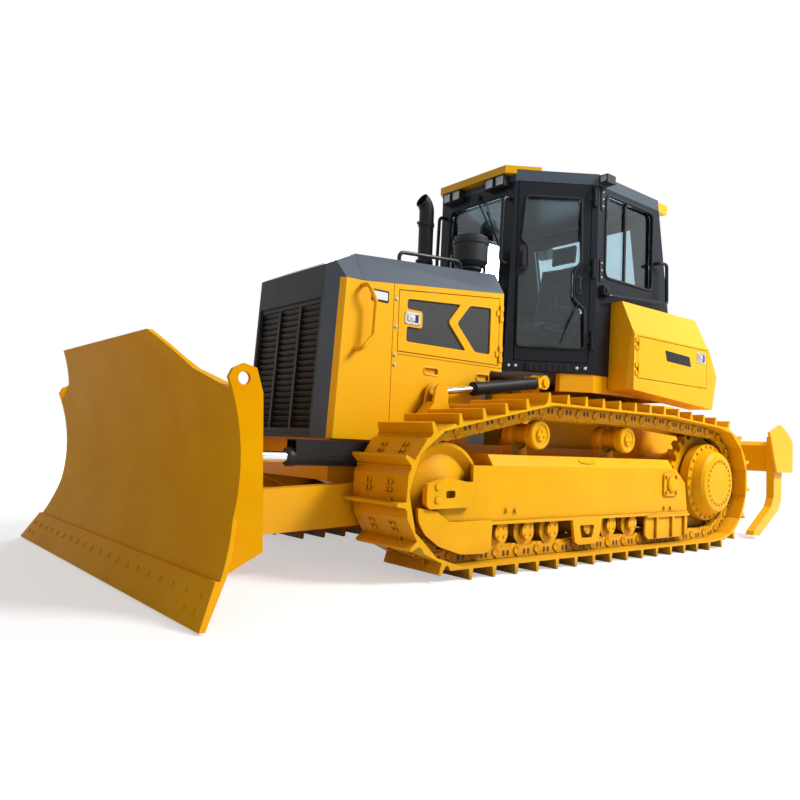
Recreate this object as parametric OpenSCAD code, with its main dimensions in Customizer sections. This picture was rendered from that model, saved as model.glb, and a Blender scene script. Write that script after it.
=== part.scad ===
// Crawler bulldozer with an angling blade, an enclosed cab and a three-shank ripper.
// X points forward, Y to the operator's left and Z up; the ground is Z = 0.

/* [Tracks] */
// Distance between the two track centre lines
track_gauge = 1880; // [1840:10:2000]
// Width of a track shoe
shoe_w = 510; // [460:10:560]
// Nominal distance between two track pins
link_pitch = 203.2; // [190:0.1:216]
// Height of a grouser bar above its shoe
grouser_h = 65; // [45:1:75]
// Thickness of a shoe plate
shoe_t = 14; // [10:1:20]
// Depth of the pin line below the shoe plate
pin_depth = 47; // [40:1:55]
// Height of the link rail past the pin line
rail_depth = 42; // [34:1:50]
// Width of one link rail
rail_w = 44; // [30:1:50]
// Foremost point of the straight ground run
ground_front_x = 1547; // [1500:1:1580]
// Rearmost point of the straight ground run
ground_rear_x = -1400; // [-1450:1:-1350]
// Idler wheel, distance ahead of the origin
idler_x = 1590; // [1570:1:1620]
// Idler wheel, height of its axle
idler_z = 502; // [490:1:515]
// Tread radius of the idler wheel
idler_r = 304; // [290:1:315]
// Sprocket, distance ahead of the origin
sprocket_x = -1527; // [-1560:1:-1500]
// Sprocket, height of its axle
sprocket_z = 561; // [555:1:580]
// Wanted radius of the sprocket's pin circle
sprocket_size = 425; // [420:1:430]
// Height of the carrier rollers' axles
carrier_z = 885; // [870:1:900]
// Tread radius of a carrier roller
carrier_r = 112; // [100:1:118]
// Height of the track rollers' axles
roller_z = 250; // [245:1:256]
// Flange height of a track roller above its tread
roller_flange = 21; // [15:1:24]
// Top of the track roller frame
frame_top_z = 742; // [730:1:748]
// Lower edge of the track roller frame's side plates
frame_low_z = 305; // [295:1:315]
// Outside width of the track roller frame
frame_w = 320; // [310:1:330]

/* [Blade] */
// Foremost reach of the cutting edge
blade_reach = 3331; // [3300:1:3380]
// Height of the parked cutting edge above the ground
blade_park = 8; // [5:1:20]
// Width over the end bits
blade_w = 3070; // [2950:10:3200]
// Width over the end plates
moldboard_w = 2730; // [2650:10:2800]
// Height of the blade's top edge above the ground
blade_top = 1299; // [1270:1:1330]
// Radius of the moldboard's curve
moldboard_r = 1050; // [1020:1:1080]
// Thickness of the moldboard's plate
moldboard_t = 22; // [16:1:28]
// Thickness of the end plates
end_plate_t = 22; // [16:1:28]
// Width of the level part of the top edge
blade_crown_w = 1482; // [1380:10:1560]

/* [Blade frame] */
// Lift pivot, distance ahead of the origin
lift_pivot_x = 450; // [440:1:460]
// Lift pivot, height
lift_pivot_z = 520; // [505:1:535]
// Distance of each arm's centre from the middle plane
arm_y = 600; // [597:1:603]
// Thickness of an arm
arm_t = 110; // [104:1:112]
// King pin, distance behind the foremost reach
king_back = 591; // [581:1:601]
// King pin radius
king_r = 60; // [50:1:66]
// Height of the blade's tilt axis
tilt_z = 480; // [475:1:490]

/* [Cylinders] */
// Lift cylinder's frame pin, distance ahead of the origin
lift_pin_x = 180; // [170:1:190]
// Lift cylinder's frame pin, height
lift_pin_z = 1305; // [1300:1:1310]
// Lift cylinder's rod eye, distance ahead of the origin
lift_eye_x = 1267; // [1260:1:1280]
// Lift cylinder's rod eye, height
lift_eye_z = 1148; // [1140:1:1156]
// Outside radius of a lift cylinder
lift_r = 47; // [42:1:48]
// Radius of a lift cylinder's rod
lift_rod_r = 24; // [20:1:28]
// Angle cylinder's rear pin, distance ahead of the origin
angle_pin_x = 1740; // [1732:1:1746]
// Height of the angle cylinders
angle_z = 685; // [680:1:690]
// Outside radius of an angle cylinder
angle_r = 52; // [46:1:52]
// Radius of an angle cylinder's rod
angle_rod_r = 31; // [26:1:34]
// Running gap between a rod and its gland
rod_gap = 0.3; // [0.2:0.05:0.5]

/* [Hood] */
// Half width of the hood over its side panels
hood_half_w = 520; // [515:1:525]
// Half width of the nose's front face and of the hood's ridge
nose_half_w = 420; // [410:1:430]
// Foot of the nose's front face
nose_x = 2155; // [2145:1:2165]
// Lower edge of the nose and the side panels
hood_low_z = 803; // [795:1:815]
// Thickness of the sheet panels
panel_t = 30; // [20:1:40]
// Number of louvres in each column of the grille
louvre_rows = 20; // [14:1:24]

/* [Cab] */
// Front wall at the door sill
cab_front_x = 388; // [380:1:396]
// Half width of the front wall at the door sill
cab_front_y = 397; // [390:1:404]
// Half width of the cab at its side walls
cab_half_w = 828; // [822:1:830]
// Level of the door sill
cab_sill_z = 1477; // [1470:1:1484]
// Underside of the roof
cab_head_z = 2920; // [2910:1:2930]
// Top of the roof
cab_top_z = 3010; // [3000:1:3020]
// Thickness of the cab's walls and doors
cab_wall = 60; // [50:1:66]
// Thickness of the glass
glass_t = 8; // [6:1:10]
// Gap round a door
door_gap = 6; // [5:0.5:8]

/* [Fenders] */
// Half width over the fender boxes
fender_half_w = 1050; // [1045:1:1060]
// Thickness of a fender box's walls and door
fender_wall = 25; // [20:1:30]

/* [Ripper] */
// Rearmost reach of the ripper
ripper_reach = 3331; // [3320:1:3345]
// Lower linkage pin on the tractor, distance behind the origin
ripper_pin_x = 2100; // [2095:1:2110]
// Lower linkage pin on the tractor, height
ripper_pin_z = 520; // [510:1:530]
// Height of the upper linkage pins above the lower ones
ripper_rise = 370; // [365:1:375]
// Beam pins, distance ahead of the rearmost reach
beam_pin_back = 371; // [366:1:376]
// Rise of a parked ripper arm along its length
ripper_climb = 200; // [190:1:210]
// Length of the ripper beam
ripper_w = 2100; // [2040:10:2140]
// Thickness of a shank
shank_t = 76; // [70:1:84]
// Outside radius of a ripper cylinder
ripper_cyl_r = 60; // [54:1:64]

/* [Hidden] */
$fn = 64;

yellow = "#FFC400";
black = "#1D2024";
slate = "#5E6C7A";
steel = "#C9CCD0";
glass_blue = "#9FC3D0";

track_y = track_gauge / 2;
seat_gap = 0.3;
big = 9000;

// Boxes, bars and profiles that are named by their limits.
module box(x0, x1, y0, y1, z0, z1) {
    translate([x0, y0, z0]) cube([x1 - x0, y1 - y0, z1 - z0]);
}

module bar_y(x, z, r, y0, y1) {
    translate([x, y0, z]) rotate([-90, 0, 0]) cylinder(h = y1 - y0, r = r);
}

module bar_x(y, z, r, x0, x1) {
    translate([x0, y, z]) rotate([0, 90, 0]) cylinder(h = x1 - x0, r = r);
}

module bar_z(x, y, r, z0, z1) {
    translate([x, y, z0]) cylinder(h = z1 - z0, r = r);
}

// A side view (X, Z) that is extruded from y0 to y1.
module side_view(y0, y1) {
    translate([0, y1, 0]) rotate([90, 0, 0]) linear_extrude(y1 - y0) children();
}

// A front view (Y, Z) that is extruded from x0 to x1.
module front_view(x0, x1) {
    translate([x0, 0, 0]) rotate([90, 0, 90]) linear_extrude(x1 - x0) children();
}

// A solid between two outlines with the same number of points.
module loft(a, b) {
    n = len(a);
    polyhedron(concat(a, b), concat(
        [[for (i = [0 : n - 1]) i]],
        [[for (i = [n - 1 : -1 : 0]) n + i]],
        [for (i = [0 : n - 1]) [i, n + i, n + (i + 1) % n, (i + 1) % n]]));
}

// A closed outline with each corner rounded off at a distance r from it.
corner_steps = 5;
function soft(p, r) = [for (i = [0 : len(p) - 1])
    let (a = p[(i + len(p) - 1) % len(p)], b = p[i], c = p[(i + 1) % len(p)],
         start = b + (a - b) / norm(a - b) * r, end = b + (c - b) / norm(c - b) * r)
    for (k = [0 : corner_steps]) let (t = k / corner_steps)
        start * (1 - t) * (1 - t) + b * 2 * t * (1 - t) + end * t * t];

// A right half outline, closed with its mirror image.
function two_sided(p) = concat(p, [for (i = [len(p) - 1 : -1 : 0]) [-p[i][0], p[i][1]]]);

module both() {
    children();
    mirror([0, 1, 0]) children();
}

// A round tube through a list of points, with an elbow of one radius at each bend.
tube_sides = 12;
elbow_steps = 3;
function unit(v) = v / norm(v);
function bend_angle(p, i) = 180 - acos(unit(p[i - 1] - p[i]) * unit(p[i + 1] - p[i]));
// Points along the elbow at bend i of a route.
function elbow(p, i, bend_r) =
    let (u = unit(p[i - 1] - p[i]), v = unit(p[i + 1] - p[i]), turn = bend_angle(p, i),
         c = p[i] + unit(u + v) * bend_r / cos(turn / 2),
         x = unit(p[i] + u * bend_r * tan(turn / 2) - c), y = cross(unit(cross(v, u)), x))
    [for (k = [0 : elbow_steps])
        c + bend_r * (cos(turn * k / elbow_steps) * x + sin(turn * k / elbow_steps) * y)];
function rounded(p, bend_r) = concat([p[0]],
    [for (i = [1 : len(p) - 2]) each elbow(p, i, bend_r)], [p[len(p) - 1]]);
// Each ring is carried along its leg to the next mitre plane.
function mitre(p, i) =
    i == len(p) - 1 ? unit(p[i] - p[i - 1]) : unit(unit(p[i] - p[i - 1]) + unit(p[i + 1] - p[i]));
function carried(ring, p, i) =
    let (d = unit(p[i] - p[i - 1]), n = mitre(p, i)) [for (q = ring) q + d * (((p[i] - q) * n) / (d * n))];
function rings(ring, p, i) =
    i == len(p) ? [] : concat([ring], i + 1 == len(p) ? [] : rings(carried(ring, p, i + 1), p, i + 1));
function first_ring(p, r) =
    let (d = unit(p[1] - p[0]), a = unit(cross(d, abs(d[2]) < 0.9 ? [0, 0, 1] : [1, 0, 0])), b = cross(d, a))
    [for (k = [0 : tube_sides - 1]) let (t = 360 * k / tube_sides) p[0] + r * (cos(t) * a + sin(t) * b)];

module tube(route, r, bend_r) {
    p = rounded(route, bend_r);
    n = tube_sides;
    last = (len(p) - 1) * n;
    polyhedron([for (ring = rings(first_ring(p, r), p, 0)) each ring], concat(
        [[for (k = [0 : n - 1]) k]],
        [[for (k = [n - 1 : -1 : 0]) last + k]],
        [for (i = [0 : len(p) - 2], k = [0 : n - 1])
            [i * n + (k + 1) % n, i * n + k, (i + 1) * n + k, (i + 1) * n + (k + 1) % n]]));
}

// A hinge knuckle on a pin along Z, with a strap and a foot in its panel's face, a drop below.
hinge_foot = 30;
hinge_strap = 6;

module knuckle(drop, reach, z0, z1) {
    bar_z(0, 0, drop - 1, z0, z1);
    box(0, reach, 2 - drop, 2 - drop + hinge_strap, z0, z1);
    box(reach - hinge_foot, reach, -drop - 1, 3 - drop, z0, z1);
}

// The panel's two knuckles lie above and below the door's one.
module door_knuckle(drop, reach, h) {
    knuckle(drop, reach, -h / 6, h / 6);
}

module panel_knuckles(drop, reach, h) {
    mirror([1, 0, 0]) for (s = [-1, 1]) {
        translate([0, 0, s * (h / 3 + seat_gap)]) knuckle(drop, reach, -h / 6, h / 6);
    }
}

// Track loop: the pin line runs back along the ground, round the sprocket, forward over the
// carrier rollers and round the idler.
pin_z = pin_depth + shoe_t + grouser_h;
idler_pin_r = idler_r + rail_depth;
sprocket_pitches = round(180 / asin(link_pitch / (2 * sprocket_size)));
sprocket_pin_r = link_pitch / (2 * sin(180 / sprocket_pitches));
carrier_x = [733, -298];
run_z = carrier_z + carrier_r + rail_depth;
ground_front = [ground_front_x, pin_z];
ground_rear = [ground_rear_x, pin_z];
run_rear = [-700, run_z];
run_front = [carrier_x[0], run_z];
idler_c = [idler_x, idler_z];
sprocket_c = [sprocket_x, sprocket_z];

function tangent(p, c, r, side) =
    let (d = c - p, a = atan2(d[1], d[0]) + side * asin(r / norm(d)), l = sqrt(d * d - r * r))
    p + l * [cos(a), sin(a)];
function angle_to(c, p) = atan2(p[1] - c[1], p[0] - c[0]);
function sweep(a, b) = a - b + (a < b ? 360 : 0);

sprocket_in = tangent(ground_rear, sprocket_c, sprocket_pin_r, 1);
sprocket_out = tangent(run_rear, sprocket_c, sprocket_pin_r, -1);
idler_in = tangent(run_front, idler_c, idler_pin_r, 1);
idler_out = tangent(ground_front, idler_c, idler_pin_r, -1);
sprocket_turn = sweep(angle_to(sprocket_c, sprocket_in), angle_to(sprocket_c, sprocket_out));
idler_turn = sweep(angle_to(idler_c, idler_in), angle_to(idler_c, idler_out));
run_ends = [
    norm(ground_rear - ground_front),
    norm(sprocket_in - ground_rear),
    sprocket_pin_r * sprocket_turn * PI / 180,
    norm(run_rear - sprocket_out),
    norm(run_front - run_rear),
    norm(idler_in - run_front),
    idler_pin_r * idler_turn * PI / 180,
    norm(ground_front - idler_out)];
function total(v, n) = n == 0 ? 0 : v[n - 1] + total(v, n - 1);
loop_len = total(run_ends, len(run_ends));
shoe_count = round(loop_len / link_pitch);
shoe_step = loop_len / shoe_count;

function line_at(p, q, s) = let (d = (q - p) / norm(q - p)) [p + d * s, atan2(d[1], d[0])];
function arc_at(c, r, a0, s) = let (a = a0 - s / r * 180 / PI) [c + r * [cos(a), sin(a)], a - 90];
// Place and heading of the pin line at a distance s along it.
function loop_at(s) =
    s > loop_len ? loop_at(s - loop_len) :
    s < total(run_ends, 1) ? line_at(ground_front, ground_rear, s) :
    s < total(run_ends, 2) ? line_at(ground_rear, sprocket_in, s - total(run_ends, 1)) :
    s < total(run_ends, 3)
        ? arc_at(sprocket_c, sprocket_pin_r, angle_to(sprocket_c, sprocket_in), s - total(run_ends, 2)) :
    s < total(run_ends, 4) ? line_at(sprocket_out, run_rear, s - total(run_ends, 3)) :
    s < total(run_ends, 5) ? line_at(run_rear, run_front, s - total(run_ends, 4)) :
    s < total(run_ends, 6) ? line_at(run_front, idler_in, s - total(run_ends, 5)) :
    s < total(run_ends, 7)
        ? arc_at(idler_c, idler_pin_r, angle_to(idler_c, idler_in), s - total(run_ends, 6)) :
    line_at(idler_out, ground_front, s - total(run_ends, 7));
// A point on shoe i, t along it and n outside the pin line.
function on_shoe(i, t, n) =
    let (m = loop_at(i * shoe_step), a = m[1]) m[0] + t * [cos(a), sin(a)] + n * [-sin(a), cos(a)];

shoe_half = shoe_step / 2;
shoe_n = pin_depth + shoe_t;
tip_n = shoe_n + grouser_h;
grouser_at = 70;
grouser_tip = 9;
grouser_root = 18;

module shoe_loop() {
    difference() {
        polygon([for (i = [0 : shoe_count - 1], p = [
            [-shoe_half + 3, shoe_n],
            [grouser_at - grouser_root, shoe_n],
            [grouser_at - grouser_tip, tip_n],
            [grouser_at + grouser_tip, tip_n],
            [grouser_at + grouser_root, shoe_n],
            [shoe_half - 3, shoe_n],
            [shoe_half, shoe_n - shoe_t * 0.7]]) on_shoe(i, p[0], p[1])]);
        polygon([for (i = [0 : shoe_count - 1]) on_shoe(i, 0, pin_depth)]);
    }
}

module rail_loop() {
    difference() {
        polygon([for (i = [0 : shoe_count - 1]) on_shoe(i, 0, pin_depth + shoe_t / 2)]);
        polygon([for (i = [0 : shoe_count - 1], t = [-1, 1]) on_shoe(i, t * shoe_half * 0.9, -rail_depth)]);
    }
}

rail_y = 98;
rail_in = rail_y - rail_w / 2;
rail_out = rail_y + rail_w / 2;

module track() {
    color(yellow) {
        side_view(-shoe_w / 2, shoe_w / 2) shoe_loop();
        both() side_view(rail_in, rail_out) rail_loop();
    }
}

module track_left() {
    translate([0, track_y, 0]) track();
}

module track_right() {
    translate([0, -track_y, 0]) track();
}

// Undercarriage wheels, each turned about its own axle.
roller_x = [1122, 864, 606, 205, -75, -350, -740, -1000];
roller_r = roller_z - pin_z - rail_depth - seat_gap;
axle_r = 38;
frame_plate = 25;
axle_half = frame_w / 2 - frame_plate;

// Half of a profile, from the axle's end to the middle, is mirrored.
module wheel_y(x, z, half) {
    n = len(half) - 1;
    translate([x, 0, z]) rotate([90, 0, 0]) rotate_extrude()
        polygon(concat([for (q = half) [q[0], -q[1]]], [for (i = [n : -1 : 0]) half[i]]));
}

module track_roller(x) {
    flange_r = roller_r + roller_flange;
    wheel_y(x, roller_z, [[0, axle_half], [axle_r, axle_half], [axle_r, axle_half - 6],
        [flange_r - 12, axle_half - 6], [flange_r, rail_out + 6], [roller_r, rail_out + 1],
        [roller_r, rail_in], [roller_r - 18, rail_in - 20]]);
}

module track_rollers() {
    color(yellow) both() translate([0, track_y, 0]) for (x = roller_x) track_roller(x);
}

// The links sag this far between two pins as they cross a roller.
carrier_sag = 11;

module carrier_roller(x) {
    r = carrier_r - carrier_sag;
    wheel_y(x, carrier_z, [[0, 146], [40, 146], [46, 133], [r - 34, 133], [r - 26, 140], [r - 8, 138],
        [r, rail_out + 4], [r, rail_in - 4], [r - 26, rail_in - 26]]);
}

module carrier_rollers() {
    color(yellow) both() translate([0, track_y, 0]) for (x = carrier_x) carrier_roller(x);
}

idler_half = 118;

module idlers() {
    r = idler_r - seat_gap;
    color(yellow) both() translate([0, track_y, 0]) wheel_y(idler_x, idler_z, [[0, axle_half],
        [70, axle_half], [95, idler_half + 4], [r - 70, idler_half - 40], [r - 20, idler_half],
        [r, idler_half], [r, 50],
        [r + 22, 44]]);
}

// Sprocket rim with a tooth for each half pitch.
sprocket_tooth = 22;
sprocket_bore = 300;
bushing_r = 36;
sprocket_half = 36;

module sprockets() {
    color(yellow) both() translate([sprocket_x, track_y, sprocket_z]) side_view(-sprocket_half, sprocket_half)
        difference() {
            circle(r = sprocket_pin_r + sprocket_tooth);
            circle(r = sprocket_bore);
            for (i = [0 : 2 * sprocket_pitches - 1]) {
                rotate(i * 180 / sprocket_pitches) translate([sprocket_pin_r, 0]) circle(r = bushing_r);
            }
        }
}

// Final drive: a drum that tapers to a bolted cover outside the sprocket.
drive_in_y = 690;
drive_out_y = 1185;

module final_drives() {
    color(yellow) both() translate([sprocket_x, 0, sprocket_z]) rotate([-90, 0, 0]) rotate_extrude() polygon([
        [0, drive_in_y], [245, drive_in_y], [290, drive_in_y + 110],
        [sprocket_bore - seat_gap, track_y - 60], [sprocket_bore - seat_gap, track_y + 60],
        [330, track_y + 61], [330, drive_out_y - 110], [290, drive_out_y - 100], [262, drive_out_y - 30],
        [240, drive_out_y - 8], [205, drive_out_y], [0, drive_out_y]]);
}

// Track roller frame with bearing caps, the idler's block, carrier brackets and roller guards.
frame_front_x = 1390;
frame_rear_x = -1150;
fill_rear_x = sprocket_x + sprocket_pin_r + sprocket_tooth + 40;
fill_front_x = idler_x - idler_r - 40;
cap_r = 54;
flange_t = 20;
flange_len = 2930;
flange_out = 22;
frame_edge = 70;
frame_in = frame_w / 2 - frame_plate;

// Plate outline with a bearing cap round each roller axle.
module frame_side_shape() {
    polygon([[frame_rear_x, frame_low_z], [frame_rear_x + 40, frame_top_z - 190],
        [frame_rear_x + 190, frame_top_z - frame_edge], [frame_front_x, frame_top_z - frame_edge],
        [frame_front_x, idler_z + 70], [idler_x + 80, idler_z + 60], [idler_x + 80, idler_z - 83],
        [1810, frame_low_z + 40], [1810, frame_low_z]]);
    for (x = roller_x) {
        translate([x, roller_z]) circle(r = cap_r);
        translate([x - 34, roller_z]) square([68, frame_low_z - roller_z + 10]);
    }
}

// Guards outside the plates: one below the idler and one at mid length.
guard_low = 130;
module guard_shape() {
    polygon(soft([[1226, frame_low_z + 30], [1235, guard_low + 25], [1290, guard_low],
        [1495, guard_low + 8], [1674, guard_low + 63], [1790, 270], [1842, 345], [1850, 425], [1700, 400],
        [1600, frame_low_z + 30]], 20));
    difference() {
        polygon([[68, frame_low_z + 10], [112, guard_low + 20], [160, guard_low], [345, guard_low],
            [385, guard_low + 20], [420, frame_low_z + 10]]);
        polygon(soft([[165, frame_low_z - 40], [190, guard_low + 45], [310, guard_low + 45],
            [335, frame_low_z - 40]], 15));
    }
}

// The idler's bearing block, which slides in the end of the frame.
module block_shape() {
    difference() {
        polygon(soft([[1411, 440], [1440, 420], [1777, 416], [1800, 440], [1800, 560], [1690, 585],
            [1640, 600], [1411, 562]], 14));
        polygon(soft([[1575, 478], [1650, 478], [1650, 522], [1575, 522]], 16));
    }
}

module track_frame() {
    for (s = [-1, 1]) {
        inner = s > 0 ? frame_in : -frame_w / 2;
        side_view(inner, inner + frame_plate) frame_side_shape();
        outer = s > 0 ? frame_w / 2 - 1 : -frame_w / 2 - flange_out + 1;
        side_view(outer, outer + flange_out) {
            guard_shape();
            translate([frame_rear_x + 20, frame_low_z]) square([flange_len, flange_t]);
        }
    }
    side_view(frame_w / 2 - 1, frame_w / 2 + 40) block_shape();
    // Closed body between the plates, with sloping top edges.
    side_view(-frame_in - 1, frame_in + 1) polygon([
        [fill_rear_x, frame_top_z - frame_edge - 60], [frame_rear_x + 230, frame_top_z - frame_edge],
        [fill_front_x - 40, frame_top_z - frame_edge], [fill_front_x, frame_top_z - frame_edge - 40],
        [fill_front_x, frame_top_z - 240], [fill_rear_x, frame_top_z - 240]]);
    front_view(frame_rear_x + 230, fill_front_x - 30) polygon(two_sided([
        [frame_w / 2, frame_top_z - frame_edge - 1], [frame_w / 2 - frame_edge + 20, frame_top_z]]));
    // Carrier brackets, behind the rollers.
    for (x = carrier_x) {
        side_view(-130, -50) polygon([[x - 90, frame_top_z - 10], [x + 90, frame_top_z - 10],
            [x + 50, carrier_z], [x - 50, carrier_z]]);
    }
}

module track_frames() {
    color(yellow) both() translate([0, track_y, 0]) difference() {
        track_frame();
        for (x = carrier_x) bar_y(x, carrier_z, carrier_r - carrier_sag + seat_gap, -200, 200);
    }
}

// Main frame: two deep side beams, a belly plate, the rear case with its axle housings, the
// equalizer bar and the brackets of the lift cylinders.
beam_tip_x = 2060;
beam_toe_x = 1700;
beam_in = 380;
beam_out = 495;
beam_low = 420;
beam_top = hood_low_z - seat_gap;
case_front = -1150;
case_rear = -1960;
gearbox_x = 330;
gearbox_half_w = 330;
equalizer_x = 130;
lift_pin_r = 32;
pivot_r = 62;
deck_z = 1250;
case_top = deck_z - seat_gap;

module main_frame() {
    color(yellow) difference() {
        union() {
            both() {
                side_view(beam_in, beam_out) polygon([[beam_tip_x, beam_low + 120], [beam_tip_x, beam_top],
                    [case_front, beam_top], [case_front, beam_low], [beam_toe_x + 60, beam_low]]);
                // Lift pivot trunnion and the lift cylinder's bracket.
                bar_y(lift_pivot_x, lift_pivot_z, 130, beam_out - 1, arm_y - arm_t / 2 - 6);
                bar_y(lift_pivot_x, lift_pivot_z, pivot_r, beam_out - 1, arm_y + arm_t / 2 + 4);
                side_view(beam_out - 95, beam_out) polygon([[-40, beam_top - 1], [420, beam_top - 1],
                    [lift_pin_x + 90, deck_z + 20], [lift_pin_x + 62, lift_pin_z + 50],
                    [lift_pin_x - 62, lift_pin_z + 50], [lift_pin_x - 120, deck_z]]);
                bar_y(lift_pin_x, lift_pin_z, lift_pin_r, beam_out - 1, arm_y + lift_r + 14);
                bar_y(lift_pin_x, lift_pin_z, 62, beam_out - 1, arm_y - lift_r - 6);
                bar_y(sprocket_x, sprocket_z, 235, beam_out - 60, drive_in_y);
                bar_y(equalizer_x, beam_low + 60, 70, 0, track_y - frame_w / 2);
            }
            box(case_rear, case_front, -beam_out, beam_out, beam_low, case_top);
            box(case_front - 1, beam_toe_x, -beam_in - 1, beam_in + 1, beam_low, beam_low + 30);
            box(beam_toe_x - 1, beam_tip_x, -beam_in - 1, beam_in + 1, beam_low + 120, beam_top);
            box(case_front - 1, gearbox_x, -gearbox_half_w, gearbox_half_w, beam_low + 200, deck_z - 10);
            box(equalizer_x - 60, equalizer_x + 60, -beam_in - 1, beam_in + 1, beam_low + 10, beam_low + 130);
        }
    }
}

engine_x = [520, 1640];
engine_half_w = 340;
engine_top = 1760;

module engine() {
    color(black) box(engine_x[0], engine_x[1], -engine_half_w, engine_half_w, beam_low + 30 + seat_gap,
        engine_top);
}

// Hood: side panels under a chamfered top that climbs towards the cab, behind a nose with 45
// degree corners.
hood_front_x = 1870;
hood_rear_x = 540;
nose_top_x = 2094;
nose_top_z = 1913;
edge_front_z = 1828;
edge_rear_z = 1958;
ridge_front_z = 2022;
ridge_rear_z = 2124;

function hood_edge(x) =
    edge_front_z + (hood_front_x - x) / (hood_front_x - hood_rear_x) * (edge_rear_z - edge_front_z);
function hood_ridge(x) =
    ridge_front_z + (hood_front_x - x) / (hood_front_x - hood_rear_x) * (ridge_rear_z - ridge_front_z);

// Outline of the hood's top across the machine at x, shrunk by an inset.
function hood_section(x, inset) = [
    [x, hood_half_w - inset, hood_edge(x) + seat_gap], [x, nose_half_w - inset * 0.6, hood_ridge(x) - inset],
    [x, inset * 0.6 - nose_half_w, hood_ridge(x) - inset], [x, inset - hood_half_w, hood_edge(x) + seat_gap]];

// Engine door opening in a side panel.
lower_panel_x = 900;
door_x0 = 585;
door_x1 = 1562;
door_low = 1408;
door_drop = 42;

seam_x = 1608;
seam_w = 5;
seam_depth = 6;
slot_x = [1256, 745];
slot_depth = 14;
engine_hinge = [door_x0 - 5, hood_half_w + 8];
engine_hinge_z = [1490, 1800];
engine_hinge_h = 120;
small_drop = 8;
small_reach = 36;

module at_engine_hinges() {
    for (z = engine_hinge_z) translate([engine_hinge[0], engine_hinge[1], z]) children();
}

module engine_door_shape(grow) {
    polygon([[door_x0 - grow, door_low - grow], [door_x1 + grow, door_low - grow],
        [door_x1 + grow, hood_edge(door_x1) - door_drop + grow],
        [door_x0 - grow, hood_edge(door_x0) - door_drop + grow]]);
}

module hood() {
    color(slate) difference() {
        loft(hood_section(hood_rear_x, 0), hood_section(hood_front_x, 0));
        translate([0, 0, -1]) loft(hood_section(hood_rear_x - 10, panel_t), hood_section(hood_front_x + 10,
            panel_t));
        bar_z(stack_x, stack_y, stack_r + 6, 0, big);
        bar_z(bowl_x, bowl_y, neck_r + 6, 0, big);
    }
}

// Side panels from the cab to the corners of the nose, with the engine doors' openings.
module side_panels() {
    color(yellow) intersection() {
        both() difference() {
            side_view(hood_half_w - panel_t, hood_half_w) polygon([[hood_rear_x, door_low - 50],
                [hood_rear_x, edge_rear_z], [hood_front_x, edge_front_z], [nose_x, edge_front_z],
                [nose_x, hood_low_z], [lower_panel_x, hood_low_z], [lower_panel_x - 240, door_low - 50]]);
            side_view(0, big) engine_door_shape(door_gap);
            // Panel seams and the two hand slots below the door.
            side_view(hood_half_w - seam_depth, hood_half_w + 1) {
                translate([seam_x, 0]) square([seam_w, big]);
                translate([0, door_low - 26]) square([seam_x, seam_w]);
            }
            side_view(hood_half_w - slot_depth, hood_half_w + 1) {
                for (x = slot_x) polygon(soft([[x - 62, 1275], [x + 62, 1275], [x + 62, 1318],
                    [x - 62, 1318]], 10));
            }
        }
        nose_prism(0, -big / 4);
    }
    color(yellow) both() at_engine_hinges() panel_knuckles(small_drop, small_reach, engine_hinge_h);
}

// Two mesh windows on either side of the chevron bar, and the sheet of mesh behind them.
mesh_windows = [
    [[1490, 1478], [1490, 1582], [1352, 1582], [1352, 1700], [1490, 1700], [1490, 1770], [990, 1806],
        [1105, 1665], [925, 1478]],
    [[895, 1812], [675, 1828], [675, 1478], [830, 1478], [1020, 1665]]];
mesh_sheet = [[1500, 1470], [1500, 1776], [665, 1832], [665, 1470]];

module engine_door() {
    color(yellow) difference() {
        side_view(hood_half_w - panel_t, hood_half_w) engine_door_shape(0);
        side_view(0, big / 2) for (p = mesh_windows) polygon(soft(p, 22));
    }
    color(black) side_view(hood_half_w - panel_t + 4, hood_half_w - 12) polygon(mesh_sheet);
    color(yellow) at_engine_hinges() door_knuckle(small_drop, small_reach, engine_hinge_h);
}

module engine_door_left() {
    engine_door();
}

module engine_door_right() {
    mirror([0, 1, 0]) engine_door();
}

// Plan of the nose with its 45 degree corners, leaned back with the front face.
grille_lean = atan2(nose_x - nose_top_x, nose_top_z - hood_low_z);
corner_w = hood_half_w - nose_half_w;

module nose_prism(inset, x0) {
    c = nose_half_w - inset * 0.41;
    side = -inset - corner_w - 1;
    translate([nose_x, 0, hood_low_z]) rotate([0, -grille_lean, 0]) translate([0, 0, -500])
        linear_extrude(2500) polygon([[x0, -hood_half_w - 1], [side, -c - corner_w - 1], [-inset, -c],
            [-inset, c], [side, c + corner_w + 1], [x0, hood_half_w + 1]]);
}

module nose_solid(inset) {
    seam = hood_front_x + 2;
    side_y = hood_half_w - panel_t - seat_gap - inset;
    intersection() {
        nose_prism(inset, -600);
        front_view(seam - (inset > 0 ? 5 : 0), big) polygon(two_sided([[side_y, hood_low_z],
            [side_y, edge_front_z + seat_gap], [hood_half_w - inset, edge_front_z + seat_gap],
            [nose_half_w - inset * 0.6, ridge_front_z - inset]]));
        side_view(-big / 4, big / 4) polygon([[0, 0], [0, ridge_front_z - inset],
            [seam, ridge_front_z - inset], [nose_top_x, nose_top_z - inset], [big, nose_top_z - inset],
            [big, 0]]);
    }
}

grille_half_w = 398;
grille_low = hood_low_z + 26;
grille_top = 1700;

module nose() {
    color(slate) difference() {
        nose_solid(0);
        translate([0, 0, -1]) nose_solid(panel_t);
        box(hood_front_x, nose_x + 100, -grille_half_w, grille_half_w, grille_low, grille_top);
    }
}

// Louvred grille in three columns, on its own frame.
louvre_pitch = (grille_top - grille_low - 60) / louvre_rows;

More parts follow.
